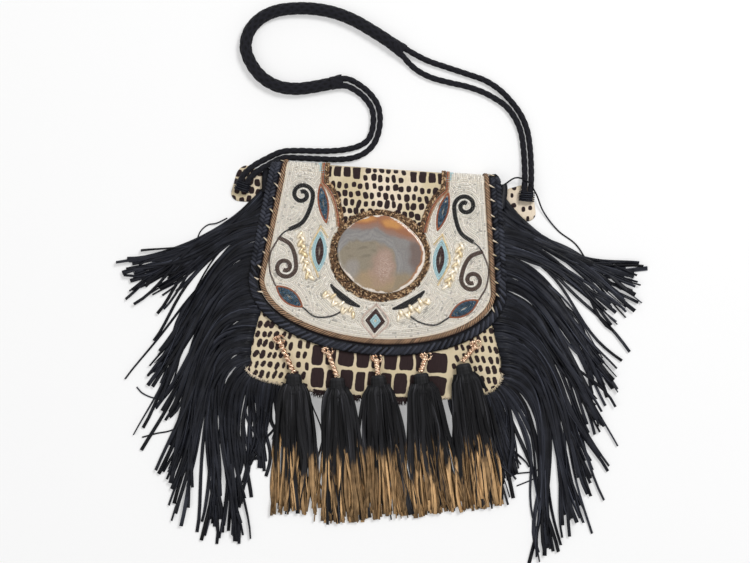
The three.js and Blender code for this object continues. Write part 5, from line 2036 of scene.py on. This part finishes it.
def make_skirt(number, hang, swing, head_top):
    """Black laces, gathered on the head, with painted gold ends."""
    roll = dice(90 + number)
    strands, stations = 72, 16
    band_share = 0.5  # of the head that shows above the laces
    tip_half_width = 28.0
    start_y = -head_top - band_share * HEAD_LENGTH
    drop = -hang[2]
    t = np.linspace(0, 1, stations)
    piece = Piece()
    for strand in range(strands):
        across = 2 * (strand * 0.618034 % 1) - 1
        over = 1 if strand % 3 else -1
        layer = roll.uniform(0, 1)
        start_x = 0.95 * HEAD_RADIUS * across
        start_z = over * HEAD_TOP_RADIUS * HEAD_FLAT * math.sqrt(1 - across**2) * roll.uniform(0.8, 1.0)
        reach = (SKIRT_LENGTH + (1 - band_share) * HEAD_LENGTH) * (1.03 - 0.15 * roll.beta(1.2, 2.2))
        reach += LONGER[number - 1]
        end_x = tip_half_width * across * roll.uniform(0.8, 1.05) + roll.normal(0, 3.4)
        end_z = drop + 0.9 + (2.4 + 2.4 * layer if over > 0 else 1.6 * layer)
        sway = roll.normal(0, 3.6) * np.sin(t * roll.uniform(3, 10) + roll.uniform(0, 6)) * t**0.7
        x = start_x + (end_x - start_x) * t**0.42 + sway
        z = start_z + (end_z - start_z) * smooth(t / 0.52)
        path = hung(np.stack([x, start_y - reach * t, z], -1), hang, swing)
        width = roll.uniform(2.8, 5.6)
        turn = roll.normal(0, 0.4) + roll.normal(0, 0.8) * t
        path[:, 2] = np.maximum(path[:, 2], 0.6 + 0.5 * width * np.abs(np.sin(turn)))
        dip = 0.43 + 0.4 * roll.beta(1.3, 1.8) if roll.uniform(0, 1) < 0.84 else 2.0
        gold = smooth((t - dip) / 0.26 + 0.5)
        # the gold's brightness differs at random from lace to lace, times painted light across each lace, plus some of
        # its painted highlights
        tone = lace_tone(stations, roll)
        shine = (0.05 + 0.8 * roll.beta(0.5, 0.9)) * np.tile(FACE_LIGHT, stations) + 0.2 * tone
        section = lens(width, 0.95)
        piece.add(*sweep(path, section, roll=turn), tone=tone, gold=np.repeat(gold, 6), shine=shine)
    tassel = f"tassel_{number}"
    piece.settle(f"{tassel}_skirt", TASSEL_LEATHER, "tassel_leather", tassel, f"{tassel}_skirt")


left_seam = Seam(side=-1, top_y=-16, insets=(9.0, 13.0), corner_y=SIDE_END - 14)
right_seam = Seam(side=1, top_y=-8, insets=(1.5, 11.0), corner_y=SIDE_END)
make_fringe("left_fringe", left_seam, LEFT_LOCKS, LEFT_STRAYS, LEFT_LOOSE, light=0.9, seed=51)
make_fringe("right_fringe", right_seam, RIGHT_LOCKS, RIGHT_STRAYS, RIGHT_LOOSE, light=1.25, seed=52)
for tassel_number in range(1, len(HANGS) + 1):
    sewn_at, hangs_at, tassel_swing, head_start = hang_frame(tassel_number)
    make_loop(tassel_number, sewn_at, hangs_at)
    make_head(tassel_number, hangs_at, tassel_swing, head_start)
    make_skirt(tassel_number, hangs_at, tassel_swing, head_start)


# Back, gusset, lining, tabs and hair


def make_back():
    """The back panel with rounded edges and a row of stitches."""
    edge = spaced(front_edge(), 4.0)
    plan = slope_point(edge[:, 0], edge[:, 1], FRONT_BACK - CLEARANCE)[:, :2]
    outer = moved(plan, SPLAY + RIM)
    top_y = HINGE_Y - CLEARANCE
    outline = np.vstack([[[outer[0, 0], top_y]], outer, [[outer[-1, 0], top_y]]])
    outline = spaced(np.vstack([outline, outline[:1]]), 4.0)[:-1]
    heart = outline.mean(axis=0)
    piece = Piece()
    rings = []
    for inset, height in ((1.0, 0.45), (0.25, 0.8), (0.0, 1.3), (0.25, 1.9), (1.0, LEATHER)):
        pulled = outline + unit(heart - outline) * inset
        rings.append(at_height(pulled, height))
    piece.add(np.vstack(rings), closed_tube(len(rings), len(outline)), tone=0.1)
    seam = spaced(outline + unit(heart - outline) * 6, 4.2)
    way, _ = flat_normals(seam)
    stitches = at_height(seam, 0.45)
    ways = at_height(way, 0.0)
    STITCH.set_out(piece, stitches, ways, UP, length=3.0, radius=0.42, tone=np.ones(len(seam)))
    piece.settle("back_panel", BACK_LEATHER, "back_leather", "bag", "back_panel")


def make_gusset():
    """The side wall in printed hide, sagging a little between the two panels."""
    edge = spaced(front_edge(), 2.2)
    plan = slope_point(edge[:, 0], edge[:, 1], FRONT_BACK - CLEARANCE)
    along = lengths_along(edge)
    levels = 9
    outside, inside = [], []
    for share in np.linspace(0, 1, levels):
        sag = 0.9 * np.sin(share * np.pi) * (1 + 0.6 * np.sin(along / 13))
        out = moved(plan[:, :2], -1.0 + (SPLAY + 1.0) * share + sag)
        height = plan[:, 2] + (LEATHER + CLEARANCE - plan[:, 2]) * share
        outside.append(at_height(out, height))
        inner = moved(plan[:, :2], -1.0 - LEATHER + (SPLAY + 1.0) * share + sag)
        inside.append(at_height(inner, height))
    rings = np.stack(outside + inside[::-1], 1)
    cells = print_cells(side_zone, (0, -30), (along[-1], 4), seed=8)
    down = np.linspace(0, -26, levels)
    dark = print_darkness(*np.meshgrid(along, down, indexing="ij"), cells)
    values = np.concatenate([dark, np.zeros_like(dark)], 1)
    piece = Piece()
    piece.add(rings.reshape(-1, 3), closed_tube(*rings.shape[:2]), print=values.ravel())
    piece.settle("gusset", HIDE, "hide", "bag", "gusset")


def make_lining():
    """The cloth pocket inside, a little rumpled."""
    mouth = slope_point(0, -MOUTH_INSET, FRONT_BACK - CLEARANCE)
    base = slope_point(0, -0.9 * FRONT_LENGTH, FRONT_BACK - CLEARANCE)
    floor = LEATHER + CLEARANCE
    steps, cloth = 24, 0.8
    half_width = TOP_HALF_WIDTH - 6
    x = np.linspace(-half_width, half_width, 70)
    y = np.linspace(mouth[1], base[1], steps)
    roof = np.linspace(mouth[2], base[2], steps) - CLEARANCE
    ground = np.full(steps, floor + CLEARANCE)
    outline_y = np.concatenate([y, y[::-1]])
    outline_z = np.concatenate([ground, roof[::-1]])
    inner_y = np.concatenate([y[:-1], y[-1:] + cloth, y[-1:] + cloth, y[-2::-1]])
    inner_z = np.concatenate([ground + cloth, (roof - cloth)[::-1]])
    ring_y = np.concatenate([outline_y, inner_y[::-1]])
    ring_z = np.concatenate([outline_z, inner_z[::-1]])
    across, along = x[:, None], ring_y[None]
    rumple = 0.22 * np.sin(across / 7 + along / 11) + 0.15 * np.sin(across / 4 - along / 17)
    corners = np.stack(np.broadcast_arrays(across, along, ring_z[None] + rumple), -1)
    around = len(ring_y)
    half = np.arange(around // 2 - 1)
    faces = [net(len(x), around, True)]
    for start in (0, (len(x) - 1) * around):
        strip = np.stack([half, half + 1, around - 2 - half, around - 1 - half], -1) + start
        faces.append(strip if start else strip[:, ::-1])
    piece = Piece()
    piece.add(corners.reshape(-1, 3), faces)
    piece.settle("lining", LINING, "lining", "bag", "lining")


def make_tab(side, name, seed):
    """A soft ear of hide at an upper corner, to which the cords are lashed."""
    top = HINGE_Y + 4
    inner = side_x(4 - TAB_LENGTH) + SPLAY + RIM + 2 * CLEARANCE
    shape = np.array([(0, -1), (0.42, -1), (0.86, -0.98), (1, -0.84), (0.95, -0.5), (0.84, -0.14),
                      (0.64, 0), (0.34, -0.06), (0.03, -0.2), (0, -0.6), (0, -1)])
    outline = through(shape * [TAB_WIDTH, TAB_LENGTH] + [inner, top], 120)[:-1] * [side, 1]
    heart = outline.mean(axis=0)
    rings = 24
    share = np.linspace(0.02, 1, rings)[:, None]
    plan = heart + share[..., None] * (outline - heart)[None]
    ripple = 0.3 * np.sin(plan[..., 0] / 5) * np.sin(plan[..., 1] / 6) * (1 - share)
    crown = CLEARANCE + TAB_THICKNESS * (0.2 + 0.8 * np.sqrt(1 - share**6)) + ripple
    around = len(outline)
    top_side = np.concatenate([plan, crown[..., None]], -1)
    under = at_height(outline, CLEARANCE)
    cells = print_cells(ear_zone, (-200, 60), (200, 130), seed)
    dark = print_darkness(plan[..., 0], plan[..., 1], cells)
    faces = [group[:, ::side] for group in closed_tube(rings + 1, around)]
    corners = np.vstack([top_side.reshape(-1, 3), under])
    piece = Piece()
    piece.add(corners, faces, print=np.append(dark.ravel(), dark[-1]))
    piece.settle(name, HIDE, "hide", "bag", name)


def make_lashing(name, first, second):
    """Turns of lace that tie a pair of cord ends to the tab."""
    first, second = np.asarray(first), np.asarray(second)
    middle = (first[-1] + second[-1]) / 2
    way = unit(first[-1] - first[-2] + second[-1] - second[-2])
    across = unit(np.cross(way, UP))
    reach = abs(np.dot(first[-1] - second[-1], across)) / 2 + CORD_RADIUS + 0.9
    angle = np.linspace(0, 2 * np.pi, 41)
    piece = Piece()
    turns = 5
    for turn in range(turns):
        centre = middle + way * (0.5 - 2.3 * turn)
        skew = way * 0.5
        ring = (
            centre
            + across * (reach * np.cos(angle))[:, None]
            + np.array(UP) * ((CORD_RADIUS + 1.1) * np.sin(angle))[:, None]
            + skew * np.sin(angle)[:, None]
        )
        piece.add(*sweep(ring, lens(2.5, 1.5), up=way), tone=0.1 + 0.1 * (turn % 2))
    piece.settle(name, FRINGE_LEATHER, "black_leather", "bag")


def make_binding(side, name):
    """Black leather bound over a side of the mouth, between the flap and the tab."""
    corner = side_x(-MOUTH_INSET) + SPLAY
    route = [
        (side * corner, HINGE_Y - MOUTH_INSET, 12.0), (side * (corner + 1.2), HINGE_Y - 12, 8.5),
        (side * (corner + 1.6), HINGE_Y - 3, 6.2), (side * (corner + 0.8), HINGE_Y + 2.5, 5.0),
    ]
    roll = dice(56)
    path = through(route, 24)
    piece = Piece()
    piece.add(*sweep(path, lens(10.0, 4.0)), tone=np.repeat(roll.uniform(0, 0.1, len(path)), 6))
    piece.settle(name, FRINGE_LEATHER, "black_leather", "bag")


def make_hair():
    """Tufts of hair along the front panel's cut edge."""
    roll = dice(55)
    edge = spaced(front_edge(), 0.45)
    low = edge[edge[:, 1] < SIDE_END + 45]
    ways, left = flat_normals(low)
    count = len(low)
    out = left + ways * roll.normal(0, 0.45, count)[:, None]
    tufted = smooth(0.6 + 1.4 * np.sin(low[:, 0] / 4.6 + np.sin(low[:, 0] / 13)))
    under_blocks = (low[:, 0] > BLOCKS_LEFT) & (low[:, 0] < BLOCKS_RIGHT)
    dark = under_blocks & (roll.uniform(0, 1, count) < 0.2 + 0.8 * tufted)
    length = roll.uniform(2.5, 5.0, count) + 6.5 * tufted * dark
    height = FRONT_FACE - 0.8 + roll.uniform(-1.2, 0.5, count)
    spots = low + unit(out) * (length * 0.3)[:, None]
    centres = slope_point(spots[:, 0], spots[:, 1], height)
    lower = height - roll.uniform(0.0, 0.5, count)
    ends = slope_point(spots[:, 0] + out[:, 0], spots[:, 1] + out[:, 1], lower)
    radius = np.where(dark, 0.85, 0.42)
    piece = Piece()
    HAIR.set_out(piece, centres, ends - centres, UP, length, radius, print=dark * 1.0)
    piece.settle("edge_hair", HIDE, "hide", "bag")


make_back()
make_gusset()
make_lining()
make_tab(-1, "left_strap_tab", seed=14)
make_tab(1, "right_strap_tab", seed=15)
make_binding(-1, "left_binding")
make_binding(1, "right_binding")
make_lashing("left_lashing", LEFT_UPPER_ROUTE, LEFT_LOWER_ROUTE)
make_lashing("right_lashing", RIGHT_UPPER_ROUTE, RIGHT_LOWER_ROUTE)
make_hair()
for snap in ("snap_base", "snap_cap"):
    frame["nodes"][snap].data.materials.clear()
    frame["nodes"][snap].data.materials.append(STEEL)

# Sizes for the record, then the end of the scene
visual_box = [list(corner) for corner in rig.bounds()]
with open("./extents.json", "w") as file:
    json.dump({"cad": cad_box, "visual": visual_box}, file)
